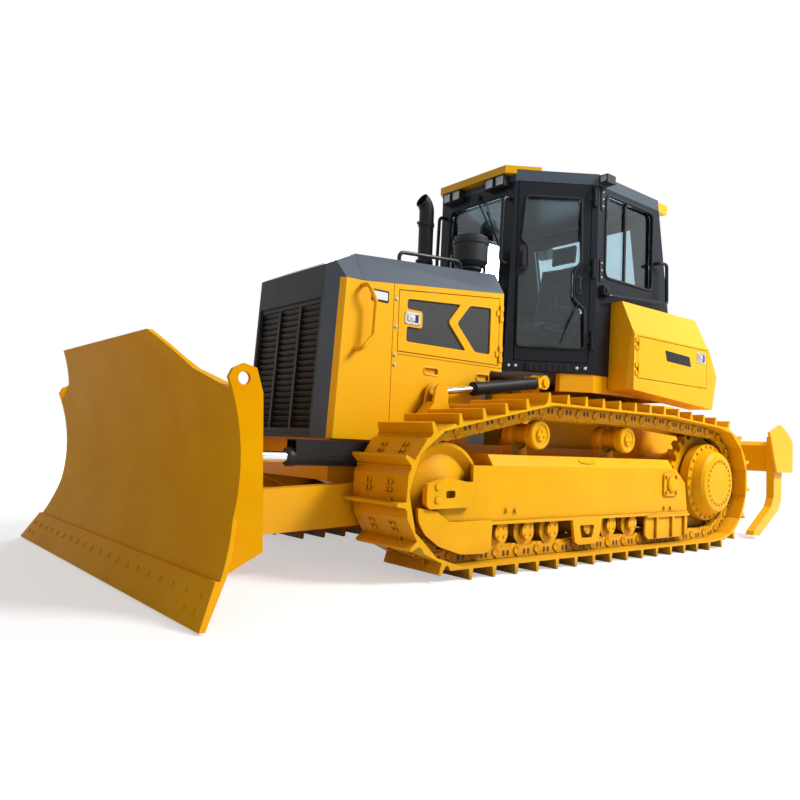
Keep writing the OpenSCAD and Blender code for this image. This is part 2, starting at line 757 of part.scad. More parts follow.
module grille() {
    w = grille_half_w - seat_gap;
    h = grille_top - grille_low - 2 * seat_gap;
    color(black) translate([nose_x - 55, 0, grille_low + seat_gap]) rotate([0, -grille_lean, 0]) {
        difference() {
            box(0, 40, -w, w, 0, h - 2);
            for (c = [-1 : 1]) {
                box(-1, 41, c * (2 * w / 3) - w / 3 + 14, c * (2 * w / 3) + w / 3 - 14, 30, h - 32);
            }
        }
        for (i = [0 : louvre_rows - 1]) {
            translate([4, 0, 34 + i * louvre_pitch]) rotate([0, 35, 0]) box(0, 8, -w + 10, w - 10, 0,
                louvre_pitch);
        }
    }
}

// Handrails on the hood, its sides, the front posts and the cab's rear corners.
hood_handle = [[1875, 1795], [1815, 1690], [1825, 1470], [1915, 1372]];
hood_rail_x = [890, 1480];
hood_rail_y = 395;
hood_rail_h = 65;
post_rail_z = [2250, 2780];
post_rail_y = 375;
corner_rail = [[-275, 2028], [-1130, 2094], [-1118, 2437], [-1010, 2432]];
rail_reach = 75;
corner_reach = 62;
rail_r = 15;

// A rail that stands off a wall at y, with the corners p in the side view.
function standing_rail(p, y, reach) = let (a = p[0], e = p[len(p) - 1])
    concat([[a[0], y, a[1]]], [for (q = p) [q[0], y + reach, q[1]]], [[e[0], y, e[1]]]);

module handrails() {
    color(yellow) both() tube(standing_rail(hood_handle, hood_half_w + seat_gap, rail_reach), rail_r - 1, 35);
    color(black) {
        tube([
            [hood_rail_x[1], hood_rail_y, hood_ridge(hood_rail_x[1] - rail_r) + seat_gap],
            [hood_rail_x[1], hood_rail_y, hood_ridge(hood_rail_x[1]) + hood_rail_h],
            [hood_rail_x[0], hood_rail_y, hood_ridge(hood_rail_x[0]) + hood_rail_h],
            [hood_rail_x[0], hood_rail_y, hood_ridge(hood_rail_x[0] - rail_r) + seat_gap]], rail_r - 1, 40);
        both() tube([for (q = [[0, 1], [0, rail_reach], [1, rail_reach], [1, 1]])
            [front_x(post_rail_z[q[0]]) + q[1], post_rail_y, post_rail_z[q[0]]]], rail_r, 40);
        both() tube(standing_rail(corner_rail, cab_half_w + seat_gap, corner_reach), rail_r, 28);
    }
}

// Exhaust stack: a pipe through the hood that bends forward at its top.
stack_x = 686;
stack_y = -250;
stack_r = 62;
stack_top = 2730;

module exhaust() {
    color(black) difference() {
        union() {
            bar_z(stack_x, stack_y, stack_r, engine_top + seat_gap, stack_top);
            bar_z(stack_x, stack_y, stack_r + 22, hood_ridge(stack_x - stack_r - 22) + seat_gap,
                hood_ridge(stack_x) + 60);
            translate([stack_x + 100, stack_y, stack_top]) rotate([90, 0, 0])
                rotate_extrude(angle = -65) translate([-100, 0]) circle(r = stack_r);
        }
        bar_z(stack_x, stack_y, stack_r - 6, hood_ridge(stack_x) + 80, stack_top);
        translate([stack_x + 100, stack_y, stack_top]) rotate([90, 0, 0])
            rotate_extrude(angle = -66) translate([-100, 0]) circle(r = stack_r - 6);
    }
}

// Precleaner bowl on its neck.
bowl_x = 645;
bowl_y = 250;
bowl_r = 143;
neck_r = 70;
bowl_low = 2190;
bowl_top = 2441;

module precleaner() {
    color(black) translate([bowl_x, bowl_y, 0]) rotate_extrude() polygon([[0, engine_top + seat_gap],
        [neck_r, engine_top + seat_gap], [neck_r, bowl_low - 30], [neck_r + 22, bowl_low - 28],
        [neck_r + 22, bowl_low - 8], [neck_r + 6, bowl_low - 4], [bowl_r - 40, bowl_low],
        [bowl_r - 8, bowl_low + 30], [bowl_r - 8, bowl_low + 168], [bowl_r, bowl_low + 172],
        [bowl_r, bowl_low + 205], [bowl_r - 10, bowl_low + 212], [bowl_r - 14, bowl_top - 18],
        [bowl_r - 40, bowl_top - 4], [0, bowl_top]]);
}

// Cab: vertical side and door walls between a front and a rear wall that lean in.
door_slope = 0.7393;
door_angle = atan(door_slope);
front_lean = 0.0286;
rear_lean = 0.203;
cab_rear_x = -1252;
cab_rear_z = 2070;

function front_x(z) = cab_front_x - (z - cab_sill_z) * front_lean;
function rear_x(z) = cab_rear_x + (z - cab_rear_z) * rear_lean;
function door_y(x, inset) = cab_front_y + (cab_front_x - x) * door_slope - inset / cos(door_angle);
function corner_at(inset) =
    cab_front_x - (cab_half_w - inset - cab_front_y + inset / cos(door_angle)) / door_slope;

// Solid of the cab's outside between two levels, shrunk by an inset.
module cab_solid(inset, z0, z1) {
    intersection() {
        translate([0, 0, z0]) linear_extrude(z1 - z0) polygon([[700, door_y(700, inset)],
            [corner_at(inset), cab_half_w - inset], [-big / 4, cab_half_w - inset],
            [-big / 4, -cab_half_w + inset], [corner_at(inset), -cab_half_w + inset], [700, -door_y(700,
            inset)]]);
        side_view(-big / 4, big / 4) polygon([[rear_x(z0) + inset, z0], [rear_x(z1) + inset, z1],
            [front_x(z1) - inset, z1], [front_x(z0) - inset, z0]]);
    }
}

module cab_shell() {
    difference() {
        cab_solid(0, cab_sill_z, cab_head_z);
        cab_solid(cab_wall, cab_sill_z - 1, cab_head_z + 1);
    }
}

front_split = cab_front_x - 60;
post_y = door_y(front_split, cab_wall) - door_gap;
rear_split = -1040;
post_split = corner_at(0) + 40;

// A rounded window that is cut along Y.
module window_shape(w, inset) {
    r = 60;
    for (x = [w[0] + r, w[1] - r], z = [w[2] + r, w[3] - r]) {
        translate([x, z]) circle(r = r - inset);
    }
    translate([w[0] + r, w[2] + inset]) square([w[1] - w[0] - 2 * r, w[3] - w[2] - 2 * inset]);
    translate([w[0] + inset, w[2] + r]) square([w[1] - w[0] - 2 * inset, w[3] - w[2] - 2 * r]);
}

front_win = [-310, 310, 2060, 2820];
side_win = [-985, -300, 2190, 2870];
rear_win = [-560, 560, 2120, 2850];

module cab_front() {
    color(black) difference() {
        intersection() {
            cab_shell();
            union() {
                box(front_split, big, -big / 2, big / 2, 0, big);
                box(0, big, -post_y, post_y, 0, big);
            }
        }
        front_view(front_split - 200, front_split + 400) window_shape(front_win, 0);
    }
}

// Door hinges on the corner posts.
cab_drop = 16;
cab_hinge_x = post_split - 5;
cab_hinge_z = [1660, 2236, 2815];
cab_hinge_h = 150;

module at_cab_hinges() {
    y = door_y(cab_hinge_x, -cab_drop);
    for (z = cab_hinge_z) translate([cab_hinge_x, y, z]) rotate([0, 0, -door_angle]) children();
}

module cab_sides() {
    color(slate) difference() {
        intersection() {
            cab_shell();
            box(rear_split, post_split, -big / 2, big / 2, 0, big);
        }
        side_view(-big / 4, big / 4) window_shape(side_win, 0);
    }
    color(black) both() at_cab_hinges() panel_knuckles(cab_drop, 30, cab_hinge_h);
}

module cab_rear() {
    color(slate) difference() {
        intersection() {
            cab_shell();
            box(-big, rear_split, -big / 2, big / 2, 0, big);
        }
        front_view(-2000, -1045) window_shape(rear_win, 0);
    }
}

// Panes that lie in the middle of their walls.
module cab_glass() {
    mid = cab_wall / 2;
    half = glass_t / 2;
    color(glass_blue) {
        both() side_view(cab_half_w - mid - half, cab_half_w - mid + half) window_shape(side_win, seat_gap);
        intersection() {
            front_view(0, big) window_shape(front_win, seat_gap);
            side_view(-600, 600) polygon([for (p = [[2000, -half], [2900, -half], [2900, half], [2000, half]])
                [front_x(p[0]) - mid + p[1], p[0]]]);
        }
        intersection() {
            front_view(-big, 0) window_shape(rear_win, seat_gap);
            side_view(-700, 700) polygon([for (p = [[2100, -half], [2900, -half], [2900, half], [2100, half]])
                [rear_x(p[0]) + mid + p[1], p[0]]]);
        }
    }
}

// A cab door fills the shell between the front post and the corner post.
module door_slab() {
    intersection() {
        cab_shell();
        box(post_split + door_gap, front_split - door_gap, post_y + door_gap, big, cab_sill_z + door_gap,
            cab_head_z - door_gap);
    }
}

// Corners of the door window along the door and up, with room for the handle and the latch.
door_window = [[95, 1590], [95, 2150], [165, 2215], [165, 2390], [112, 2450], [140, 2800], [590, 2800],
    [600, 2290], [545, 2215], [545, 1985], [632, 1905], [640, 1590]];

// The door window, cut square to the door's own plane.
module door_window_cut(grow, t0, t1) {
    translate([cab_front_x, cab_front_y, 0]) rotate([0, 0, 180 - door_angle]) side_view(t0, t1)
        offset(delta = -grow) polygon(soft(door_window, 32));
}

module cab_door() {
    color(black) difference() {
        door_slab();
        door_window_cut(0, -300, 300);
    }
    color(black) at_cab_hinges() door_knuckle(cab_drop, 60, cab_hinge_h);
}

module cab_door_left() {
    cab_door();
}

module cab_door_right() {
    mirror([0, 1, 0]) cab_door();
}

module door_glass() {
    color(glass_blue) door_window_cut(seat_gap, cab_wall / 2 - glass_t / 2, cab_wall / 2 + glass_t / 2);
}

module door_glass_left() {
    door_glass();
}

module door_glass_right() {
    mirror([0, 1, 0]) door_glass();
}

// Floor with the bolted door sills, and the yellow deck under it.
sill_z = 1390;
sill_t = 40;
deck_t = 40;
deck_set = 6;
deck_front_x = lift_pin_x - 160;

module cab_base() {
    color(black) difference() {
        cab_solid(0, sill_z, cab_sill_z);
        cab_solid(cab_wall, 0, cab_sill_z - sill_t);
    }
    color(yellow) difference() {
        intersection() {
            cab_solid(deck_set, deck_z, sill_z + 1);
            box(-big, deck_front_x, -big, big, 0, big);
        }
        cab_solid(deck_t, deck_z - 1, sill_z + 2);
    }
}

// Roof slab with the front and rear visors and the lifting loops.
visor_x = 420;
visor_root_x = 180;
visor_tip_y = 380;
visor_rise = 28;
visor_drop = 34;
rear_visor = [-1330, 760];
visor_low = cab_head_z + 24;
visor_slope = 0.057;
loop_x = [-820, -700];

// Underside of the rear visor, which rises to the rear.
function visor_under(x) = visor_low + (rear_x(visor_low) + 1 - x) * visor_slope;

loop_y = cab_half_w - 50;

module front_visor() {
    polygon([[visor_root_x, door_y(visor_root_x, 0)], [visor_x, visor_tip_y], [visor_x, -visor_tip_y],
        [visor_root_x, -door_y(visor_root_x, 0)]]);
}

module cab_roof() {
    color(slate) difference() {
        cab_solid(0, cab_head_z, cab_top_z);
        cab_solid(cab_wall, cab_head_z - 1, cab_head_z + 30);
    }
    color(yellow) {
        translate([0, 0, cab_top_z]) linear_extrude(visor_rise) front_visor();
        translate([0, 0, cab_top_z - visor_drop]) linear_extrude(visor_drop + 1) intersection() {
            front_visor();
            translate([front_x(cab_top_z) - 1, -big / 2]) square(big);
        }
        side_view(-rear_visor[1], rear_visor[1]) polygon([
            [rear_x(cab_top_z) + 60, cab_top_z], [rear_x(cab_top_z) + 60, cab_top_z + visor_rise],
            [rear_visor[0], cab_top_z + visor_rise], [rear_visor[0] + 8, visor_under(rear_visor[0] + 8)],
            [rear_x(visor_low) + 1, visor_low], [rear_x(cab_top_z) + 1, cab_top_z]]);
    }
    color(slate) both() tube([[loop_x[0], loop_y, cab_top_z - 4], [loop_x[0], loop_y, cab_top_z + 18],
        [loop_x[1], loop_y, cab_top_z + 18], [loop_x[1], loop_y, cab_top_z - 4]], 8, 12);
}

// Work lamps: under the visors, and one on each side of the roof.
module lamp(x, y, z, s) {
    box(min(x, x + s * 55), max(x, x + s * 55), y - 50, y + 50, z - 90, z);
}

lamp_top = cab_top_z - visor_drop - seat_gap;
rear_lamp_top = cab_head_z - 32;
rear_lamp_x = -1160;
stem_x = [rear_lamp_x - 110, rear_lamp_x - 60];

module lamps() {
    color(black) {
        for (y = [-310, -195, 195, 310]) lamp(front_x(cab_head_z) + 8, y, lamp_top, 1);
        both() {
            side_view(540, 660) polygon(soft([[rear_lamp_x, rear_lamp_top], [rear_lamp_x, rear_lamp_top - 80],
                [rear_lamp_x - 110, rear_lamp_top - 118], [rear_lamp_x - 180, rear_lamp_top - 110],
                [rear_lamp_x - 180, rear_lamp_top]], 14));
            box(stem_x[0], stem_x[1], 585, 615, rear_lamp_top - 1, visor_under(stem_x[1]) - seat_gap);
            box(-310, -200, cab_half_w + seat_gap, cab_half_w + 78, cab_head_z + 14, cab_head_z + 80);
        }
    }
}

// Operator's seat with its armrests, and the console in front of it.
seat_x = [-760, -260];
seat_z = [1780, 1900];
seat_half_w = 250;
base_x = [-700, -320];
base_half_w = 200;
back_shape = [[-640, seat_z[1] - 1], [-780, seat_z[1] - 1], [-880, 2520], [-780, 2520]];
head_shape = [[-790, 2519], [-870, 2519], [-890, 2720], [-800, 2720]];
head_half_w = 130;
armrest_y = [260, 330];
armrest_top = 2050;
console_x = [150, 300];
console_half_w = 300;
dash_shape = [[120, 1959], [280, 1959], [250, 2040], [170, 2040]];

module seat() {
    color(black) {
        box(seat_x[0], seat_x[1], -seat_half_w, seat_half_w, seat_z[0], seat_z[1]);
        box(base_x[0], base_x[1], -base_half_w, base_half_w, cab_sill_z, seat_z[0] + 1);
        side_view(10 - seat_half_w, seat_half_w - 10) polygon(back_shape);
        side_view(-head_half_w, head_half_w) polygon(head_shape);
        both() box(base_x[0], base_x[1] + 20, armrest_y[0], armrest_y[1], cab_sill_z, armrest_top);
    }
}

module console() {
    color(black) {
        box(console_x[0], console_x[1], -console_half_w, console_half_w, cab_sill_z, dash_shape[0][1] + 1);
        side_view(50 - console_half_w, console_half_w - 50) polygon(dash_shape);
    }
}

// Fender box beside the cab, with its sloping shoulder, and a pocket behind its door.
fender_inner_y = cab_half_w + seat_gap;
fender_x0 = -1640;
fender_x1 = -381;
fender_top = 2000;
fender_crease = 1733;
fender_top_y = 930;
fender_door = [-1530, -455, 1385, 1712];
pocket_depth = 160;

fender_hinge_z = [1450, 1650];
fender_hinge_h = 90;

module at_fender_hinges() {
    for (z = fender_hinge_z) {
        translate([fender_door[1] + 3, fender_half_w + small_drop, z]) mirror([1, 0, 0]) children();
    }
}

fender_low = 1195;
fender_side = [[fender_x1, 1287], [fender_x0, 1201], [-1711, 1498], [-1549, 1760], [-1540, fender_top],
    [fender_x1 - 20, fender_top]];
fender_nose = [[-450, 1200], [fender_x1, fender_half_w - 60], [-300, fender_inner_y]];

module fender_solid() {
    intersection() {
        front_view(-big / 2, 0) polygon([[fender_inner_y, fender_low], [fender_half_w, fender_low],
            [fender_half_w, fender_crease], [fender_top_y, fender_top], [fender_inner_y, fender_top]]);
        side_view(0, big / 2) polygon(fender_side);
        linear_extrude(big / 2) polygon(concat([[-big / 2, fender_inner_y], [-big / 2, fender_nose[0][1]]],
            fender_nose));
    }
}

module fenders() {
    color(yellow) both() difference() {
        fender_solid();
        box(fender_door[0] + 20, fender_door[1] - 20, fender_half_w - pocket_depth, fender_half_w + 10,
            fender_door[2] + 20, fender_door[3] - 20);
        box(fender_door[0] - door_gap, fender_door[1] + door_gap, fender_half_w - fender_wall - seat_gap,
            fender_half_w + 10, fender_door[2] - door_gap, fender_door[3] + door_gap);
    }
    color(yellow) both() at_fender_hinges() panel_knuckles(small_drop, small_reach, fender_hinge_h);
}

module fender_door_panel() {
    color(yellow) box(fender_door[0], fender_door[1], fender_half_w - fender_wall, fender_half_w,
        fender_door[2], fender_door[3]);
    color(yellow) at_fender_hinges() door_knuckle(small_drop, small_reach, fender_hinge_h);
}

module fender_door_left() {
    fender_door_panel();
}

module fender_door_right() {
    mirror([0, 1, 0]) fender_door_panel();
}

// C-frame: two arms inside the tracks, a front cross beam with the king pin, and a tower on each
// arm for the lift cylinder.
arm_in = arm_y - arm_t / 2;
arm_out = arm_y + arm_t / 2;
ear_t = 22;
eye_gap = 6;
eye_half = arm_t / 2 - ear_t - eye_gap;
king_x = blade_reach - king_back;
beam_x0 = king_x - 310;
beam_x1 = king_x - 140;
king_low = 300;
king_high = 460;

arm_outline = [[lift_pivot_x, lift_pivot_z - 118], [lift_pivot_x, lift_pivot_z + 118], [1000, 600],
    [1180, 700], [1215, 1080], [1330, 1080], [1640, 700], [1740, 545], [beam_x1 - 10, 500],
    [beam_x1 - 10, 250], [1740, 285], [900, 390]];

module arm_shape() {
    polygon(arm_outline);
    translate([lift_pivot_x, lift_pivot_z]) circle(r = 118);
}

module tower_ear() {
    polygon([[1205, 1040], [1345, 1040], [lift_eye_x + 58, lift_eye_z], [lift_eye_x - 58, lift_eye_z]]);
    translate([lift_eye_x, lift_eye_z]) circle(r = 58);
}

module c_frame() {
    color(yellow) difference() {
        union() {
            both() {
                side_view(arm_in, arm_out) arm_shape();
                for (y = [arm_in, arm_out - ear_t]) side_view(y, y + ear_t) tower_ear();
                // Angle cylinder's rear bracket on the arm.
                side_view(arm_y - 22, arm_y + 22) polygon([[angle_pin_x - 95, 530], [angle_pin_x + 60, 530],
                    [angle_pin_x + 45, angle_z - angle_r - 10], [angle_pin_x - 60, angle_z - angle_r - 10]]);
                bar_z(angle_pin_x, arm_y, 50, angle_z - angle_r - 12, angle_z - 36);
                bar_z(angle_pin_x, arm_y, 28, angle_z - 37, angle_z + 36);
            }
            box(beam_x0, beam_x1, -arm_in - 1, arm_in + 1, 260, 495);
            box(beam_x1 - 1, king_x, -150, 150, king_low, king_high);
            bar_z(king_x, 0, 130, king_low, king_high);
            bar_z(king_x, 0, king_r, king_low - 60, king_high + 60);
        }
        both() bar_y(lift_pivot_x, lift_pivot_z, pivot_r + seat_gap, arm_in - 10, arm_out + 10);
    }
}

// Yoke: a fork on the king pin that carries the blade's tilt pin and takes the angle cylinders.
yoke_x0 = king_x + 100;
yoke_x1 = king_x + 175;
pin_end = king_x + 270;
fork_t = 55;
tilt_r = 60;
angle_eye_x = king_x;
angle_ear_gap = 27;
yoke_half_h = 95;
tilt_pin_y = 420;
tilt_eye_y = -300;
tilt_rise = 440;
tilt_cyl_z = tilt_z + tilt_rise;
tilt_cyl_x = king_x + 112;

module blade_yoke() {
    color(yellow) difference() {
        union() {
            for (z = [king_low - fork_t - 5, king_high + 5]) {
                bar_z(king_x, 0, 125, z, z + fork_t);
                box(king_x, yoke_x1, -125, 125, z, z + fork_t);
            }
            box(yoke_x0 + 35, yoke_x1, -125, 125, king_low - fork_t - 5, king_high + 5 + fork_t);
            box(yoke_x0, yoke_x1, -690, 690, angle_z - yoke_half_h, angle_z + yoke_half_h);
            box(yoke_x0, yoke_x1, -125, 125, king_high + 5, angle_z);
            both() for (z = [angle_z - 36 - angle_ear_gap - 30, angle_z + 36 + angle_ear_gap]) {
                box(angle_eye_x, yoke_x0 + 1, arm_y - 75, arm_y + 75, z, z + 30);
                bar_z(angle_eye_x, arm_y, 75, z, z + 30);
            }
            bar_x(0, tilt_z, tilt_r, yoke_x1 - 1, pin_end);
            box(yoke_x0 + 45, yoke_x1, tilt_pin_y - 60, tilt_pin_y + 60, angle_z + yoke_half_h - 1,
                tilt_cyl_z + 55);
            bar_x(tilt_pin_y, tilt_cyl_z, 26, tilt_cyl_x - 30, yoke_x1 - 1);
        }
        bar_z(king_x, 0, king_r + seat_gap, 0, king_high + 5 + fork_t + 1);
    }
}

// A hydraulic barrel along +X from its pin, with its gland, and the rod that runs in it.
module barrel(length, r, rod_r, eye_r, half, pin_r) {
    difference() {
        union() {
            translate([0, 0, -half]) cylinder(h = 2 * half, r = eye_r);
            translate([0, -eye_r * 0.7, -half]) cube([eye_r + 22, eye_r * 1.4, 2 * half]);
            translate([eye_r + 21, 0, 0]) rotate([0, 90, 0]) cylinder(h = length - 61 - eye_r, r = r);
            translate([length - 41, 0, 0]) rotate([0, 90, 0]) cylinder(h = 41, r = r + 4);
        }
        translate([0, 0, -half - 100]) cylinder(h = 2 * half + 200, r = pin_r + seat_gap);
        translate([eye_r + 60, 0, 0]) rotate([0, 90, 0]) cylinder(h = length, r = rod_r + rod_gap);
    }
}

module rod(start, eye, r, eye_r, half) {
    translate([start, 0, 0]) rotate([0, 90, 0]) cylinder(h = eye - start - eye_r / 2, r = r);
    translate([eye, 0, -half]) cylinder(h = 2 * half, r = eye_r);
}

lift_len = norm([lift_eye_x - lift_pin_x, lift_eye_z - lift_pin_z]);
lift_dip = atan2(lift_pin_z - lift_eye_z, lift_eye_x - lift_pin_x);
lift_barrel_len = 745;

module lift_barrels() {
    color(black) both() translate([lift_pin_x, arm_y, lift_pin_z]) rotate([0, lift_dip, 0]) rotate([90, 0, 0])
        barrel(lift_barrel_len, lift_r, lift_rod_r, 55, lift_r, lift_pin_r);
}

module lift_rods() {
    color(steel) both() translate([lift_pin_x, arm_y, lift_pin_z]) rotate([0, lift_dip, 0]) rotate([90, 0, 0])
        rod(400, lift_len, lift_rod_r, 46, eye_half);
}

angle_len = angle_eye_x - angle_pin_x;
angle_barrel_len = 0.68 * angle_len;
angle_rod_start = 0.38 * angle_len;
guard_x = [97, angle_barrel_len - 30];

module angle_barrel() {
    color(black) {
        translate([angle_pin_x, arm_y, angle_z])
            barrel(angle_barrel_len, angle_r, angle_rod_r, 58, 36, 28);
        // Hose guard along the top of the barrel.
        difference() {
            box(angle_pin_x + guard_x[0], angle_pin_x + guard_x[1], arm_y - 55, arm_y + 55,
                angle_z + 10, angle_z + 105);
            box(angle_pin_x + guard_x[0] - 1, angle_pin_x + guard_x[1] + 1, arm_y - 47, arm_y + 47,
                angle_z - 20, angle_z + 97);
        }
    }
}

module angle_barrel_left() {
    angle_barrel();
}

module angle_barrel_right() {
    mirror([0, 1, 0]) angle_barrel();
}

module angle_rod() {
    color(steel) translate([angle_pin_x, arm_y, angle_z]) rod(angle_rod_start, angle_len, angle_rod_r,
        52, 36);
}

module angle_rod_left() {
    angle_rod();
}

module angle_rod_right() {
    mirror([0, 1, 0]) angle_rod();
}

tilt_len = tilt_pin_y - tilt_eye_y;

module tilt_place() {
    translate([tilt_cyl_x, tilt_pin_y, tilt_cyl_z]) rotate([0, 0, -90]) rotate([90, 0, 0]) children();
}

module tilt_barrel() {
    color(black) tilt_place() barrel(520, 44, 24, 46, 24, 26);
}

module tilt_rod() {
    color(steel) tilt_place() rod(260, tilt_len, 24, 42, 22);
}

// Blade: a curved moldboard between end plates, with a box beam and a crown stiffener behind it.
curve_c = [blade_reach + 820, 650];
end_half = moldboard_w / 2;
blade_half = blade_w / 2;
flare_z = 430;
edge_z = 185;
edge_half = 1450;
kink = [1030, 1103];
end_top = 989;
crown_half = blade_crown_w / 2;
back_x = blade_reach - 371;
board_depth = 600;
socket_end = king_x + 320;
tilt_lug_half = 75;
tilt_lug_top = tilt_cyl_z + 190;

module blade_outline() {
    polygon(two_sided([[edge_half, edge_z], [end_half, flare_z], [end_half, end_top], kink,
        [crown_half, blade_top]]));
}

module moldboard_profile() {
    intersection() {
        difference() {
            translate(curve_c) circle(r = moldboard_r + moldboard_t, $fn = 180);
            translate(curve_c) circle(r = moldboard_r, $fn = 180);
        }
        translate([back_x - 60, edge_z]) square([board_depth, blade_top - edge_z]);
    }
}

// What lies behind the moldboard's back face.
module behind_board() {
    difference() {
        children();
        translate(curve_c) circle(r = moldboard_r + moldboard_t - 1, $fn = 180);
    }
}

box_beam = [[back_x + 30, 300], [back_x + 30, 620], [back_x + 240, 740], [back_x + 290, 230]];
crown_beam = [[back_x + 115, 880], [back_x + 100, 960], [back_x + 330, blade_top - 30],
    [back_x + 390, blade_top - 30], [back_x + 340, 860]];
eye_r = 30;
eye_at = [back_x + 145, end_top + 60];
end_plate = [[back_x + 10, 280], [back_x + 48, end_top], [back_x + 85, end_top + 110],
    [back_x + 150, end_top + 126], [back_x + 200, end_top + 100], [back_x + 260, end_top - 20],
    [blade_reach + 69, end_top - 20], [blade_reach + 69, edge_z + 15], [back_x + 200, edge_z]];

module end_plate_shape() {
    difference() {
        polygon(end_plate);
        translate(curve_c) circle(r = moldboard_r, $fn = 180);
    }
}

module blade() {
    color(yellow) difference() {
        union() {
            intersection() {
                side_view(-big / 4, big / 4) moldboard_profile();
                front_view(0, big) blade_outline();
            }
            side_view(-end_half + 1, end_half - 1) behind_board() polygon(box_beam);
            intersection() {
                side_view(-big / 4, big / 4) behind_board() polygon(crown_beam);
                front_view(0, big) blade_outline();
            }
            both() side_view(end_half - end_plate_t, end_half) end_plate_shape();
            // Socket of the tilt pin and the lug of the tilt cylinder.
            bar_x(0, tilt_z, 110, yoke_x1 + 12, socket_end);
            for (x = [tilt_cyl_x - 22 - eye_gap - ear_t, tilt_cyl_x + 22 + eye_gap]) {
                front_view(x, x + ear_t) polygon([[tilt_eye_y - tilt_lug_half, tilt_cyl_z - 60],
                    [tilt_eye_y + tilt_lug_half, tilt_cyl_z - 60],
                    [tilt_eye_y + tilt_lug_half, tilt_lug_top],
                    [tilt_eye_y - tilt_lug_half, tilt_lug_top]]);
            }
            box(tilt_cyl_x - 22 - eye_gap - ear_t, back_x + 220, tilt_eye_y - tilt_lug_half,
                tilt_eye_y + tilt_lug_half, tilt_lug_top - 40, tilt_lug_top);
        }
        bar_x(0, tilt_z, tilt_r + seat_gap, king_x, pin_end + 2);
        both() bar_y(eye_at[0], eye_at[1], eye_r, end_half - 60, end_half + 60);
    }
}

// Cutting edge with flared end bits.
module cutting_edge() {
    color(yellow) intersection() {
        side_view(-big / 4, big / 4) polygon([[blade_reach, blade_park], [blade_reach - 28, blade_park],
            [blade_reach - 145, edge_z - seat_gap], [blade_reach - 100, edge_z - seat_gap]]);
        front_view(0, big) polygon(two_sided([[blade_half, blade_park], [edge_half, edge_z]]));
    }
}

// Ripper: a parallel linkage of lower arms and upper links, a cross beam and three shanks.
link_in = 300;
link_t = 80;
lug_t = 24;
lug_gap = 6;
rip_lower = [-ripper_pin_x, ripper_pin_z];
rip_upper = rip_lower + [0, ripper_rise];
ripper_run = ripper_reach - ripper_pin_x - beam_pin_back;
rip_arm = [-ripper_run, ripper_climb];
beam_lower = rip_lower + rip_arm;
beam_upper = rip_upper + rip_arm;
rip_pin_r = 36;
arm_eye_r = 80;
link_eye_r = 70;
cyl_y = 190;
cyl_base = [-ripper_pin_x - 60, ripper_pin_z - 40];
cyl_eye = beam_upper;
cyl_half = 40;
cyl_rod_r = 32;
cyl_eye_half = 36;
plate_t = 50;
plate_x = case_rear - seat_gap - plate_t;

module link_shape(from, to, r) {
    difference() {
        hull() {
            translate(from) circle(r = r, $fn = 32);
            translate(to) circle(r = r, $fn = 32);
        }
        for (p = [from, to]) translate(p) circle(r = rip_pin_r + seat_gap);
    }
}

// A pair of lug plates on either side of a moving eye, for both sides of the machine.
module lug_pair(y, half, gap) {
    both() for (a = [y - half - gap - lug_t, y + half + gap]) {
        side_view(a, a + lug_t) children();
    }
}

arm_mid = link_in + link_t / 2;
arm_half = link_t / 2;

module ripper_bracket() {
    color(yellow) {
        box(plate_x, plate_x + plate_t, -460, 460, ripper_pin_z - 130, rip_upper[1] + 110);
        lug_pair(arm_mid, arm_half, lug_gap) polygon([[plate_x + 1, ripper_pin_z - 110], [rip_lower[0] - 40,
            ripper_pin_z - 80], [rip_lower[0] - 75, ripper_pin_z], [rip_upper[0] - 70, rip_upper[1]],
            [rip_upper[0] - 30, rip_upper[1] + 66], [plate_x + 1, rip_upper[1] + 100]]);
        lug_pair(cyl_y, cyl_half, lug_gap) polygon([[plate_x + 1, cyl_base[1] - 80], [cyl_base[0] - 30,
            cyl_base[1] - 60], [cyl_base[0] - 62, cyl_base[1]], [cyl_base[0] - 30, cyl_base[1] + 60],
            [plate_x + 1, cyl_base[1] + 150]]);
        both() {
            for (p = [rip_lower, rip_upper]) {
                bar_y(p[0], p[1], rip_pin_r, link_in - lug_gap - 1, link_in + link_t + lug_gap + 1);
            }
            bar_y(cyl_base[0], cyl_base[1], rip_pin_r, cyl_y - cyl_half - lug_gap - 1,
                cyl_y + cyl_half + lug_gap + 1);
        }
    }
}

module ripper_arms() {
    color(yellow) both() side_view(link_in, link_in + link_t) link_shape(rip_lower, beam_lower, arm_eye_r);
}

module ripper_links() {
    color(yellow) both() side_view(link_in, link_in + link_t) link_shape(rip_upper, beam_upper, link_eye_r);
}

beam_front = beam_lower[0] - 100;
beam_low_z = 655;
beam_high_z = 960;
shank_x = [beam_front - 140, beam_front + 40];
shank_top = 1010;
shank_reach = 0.558 * ripper_run;
shank_y = [-960, 0, 960];

module beam_lug_shape() {
    polygon([[beam_front - 1, beam_low_z], [beam_lower[0] + 50, beam_low_z - 20], [beam_lower[0] + 75,
        beam_lower[1]], [beam_upper[0] + 70, beam_upper[1]], [beam_upper[0] + 35, beam_upper[1] + 62],
        [beam_upper[0] - 40, beam_upper[1] + 62], [beam_front - 170, beam_high_z - 1],
        [beam_front - 1, beam_high_z - 1]]);
}

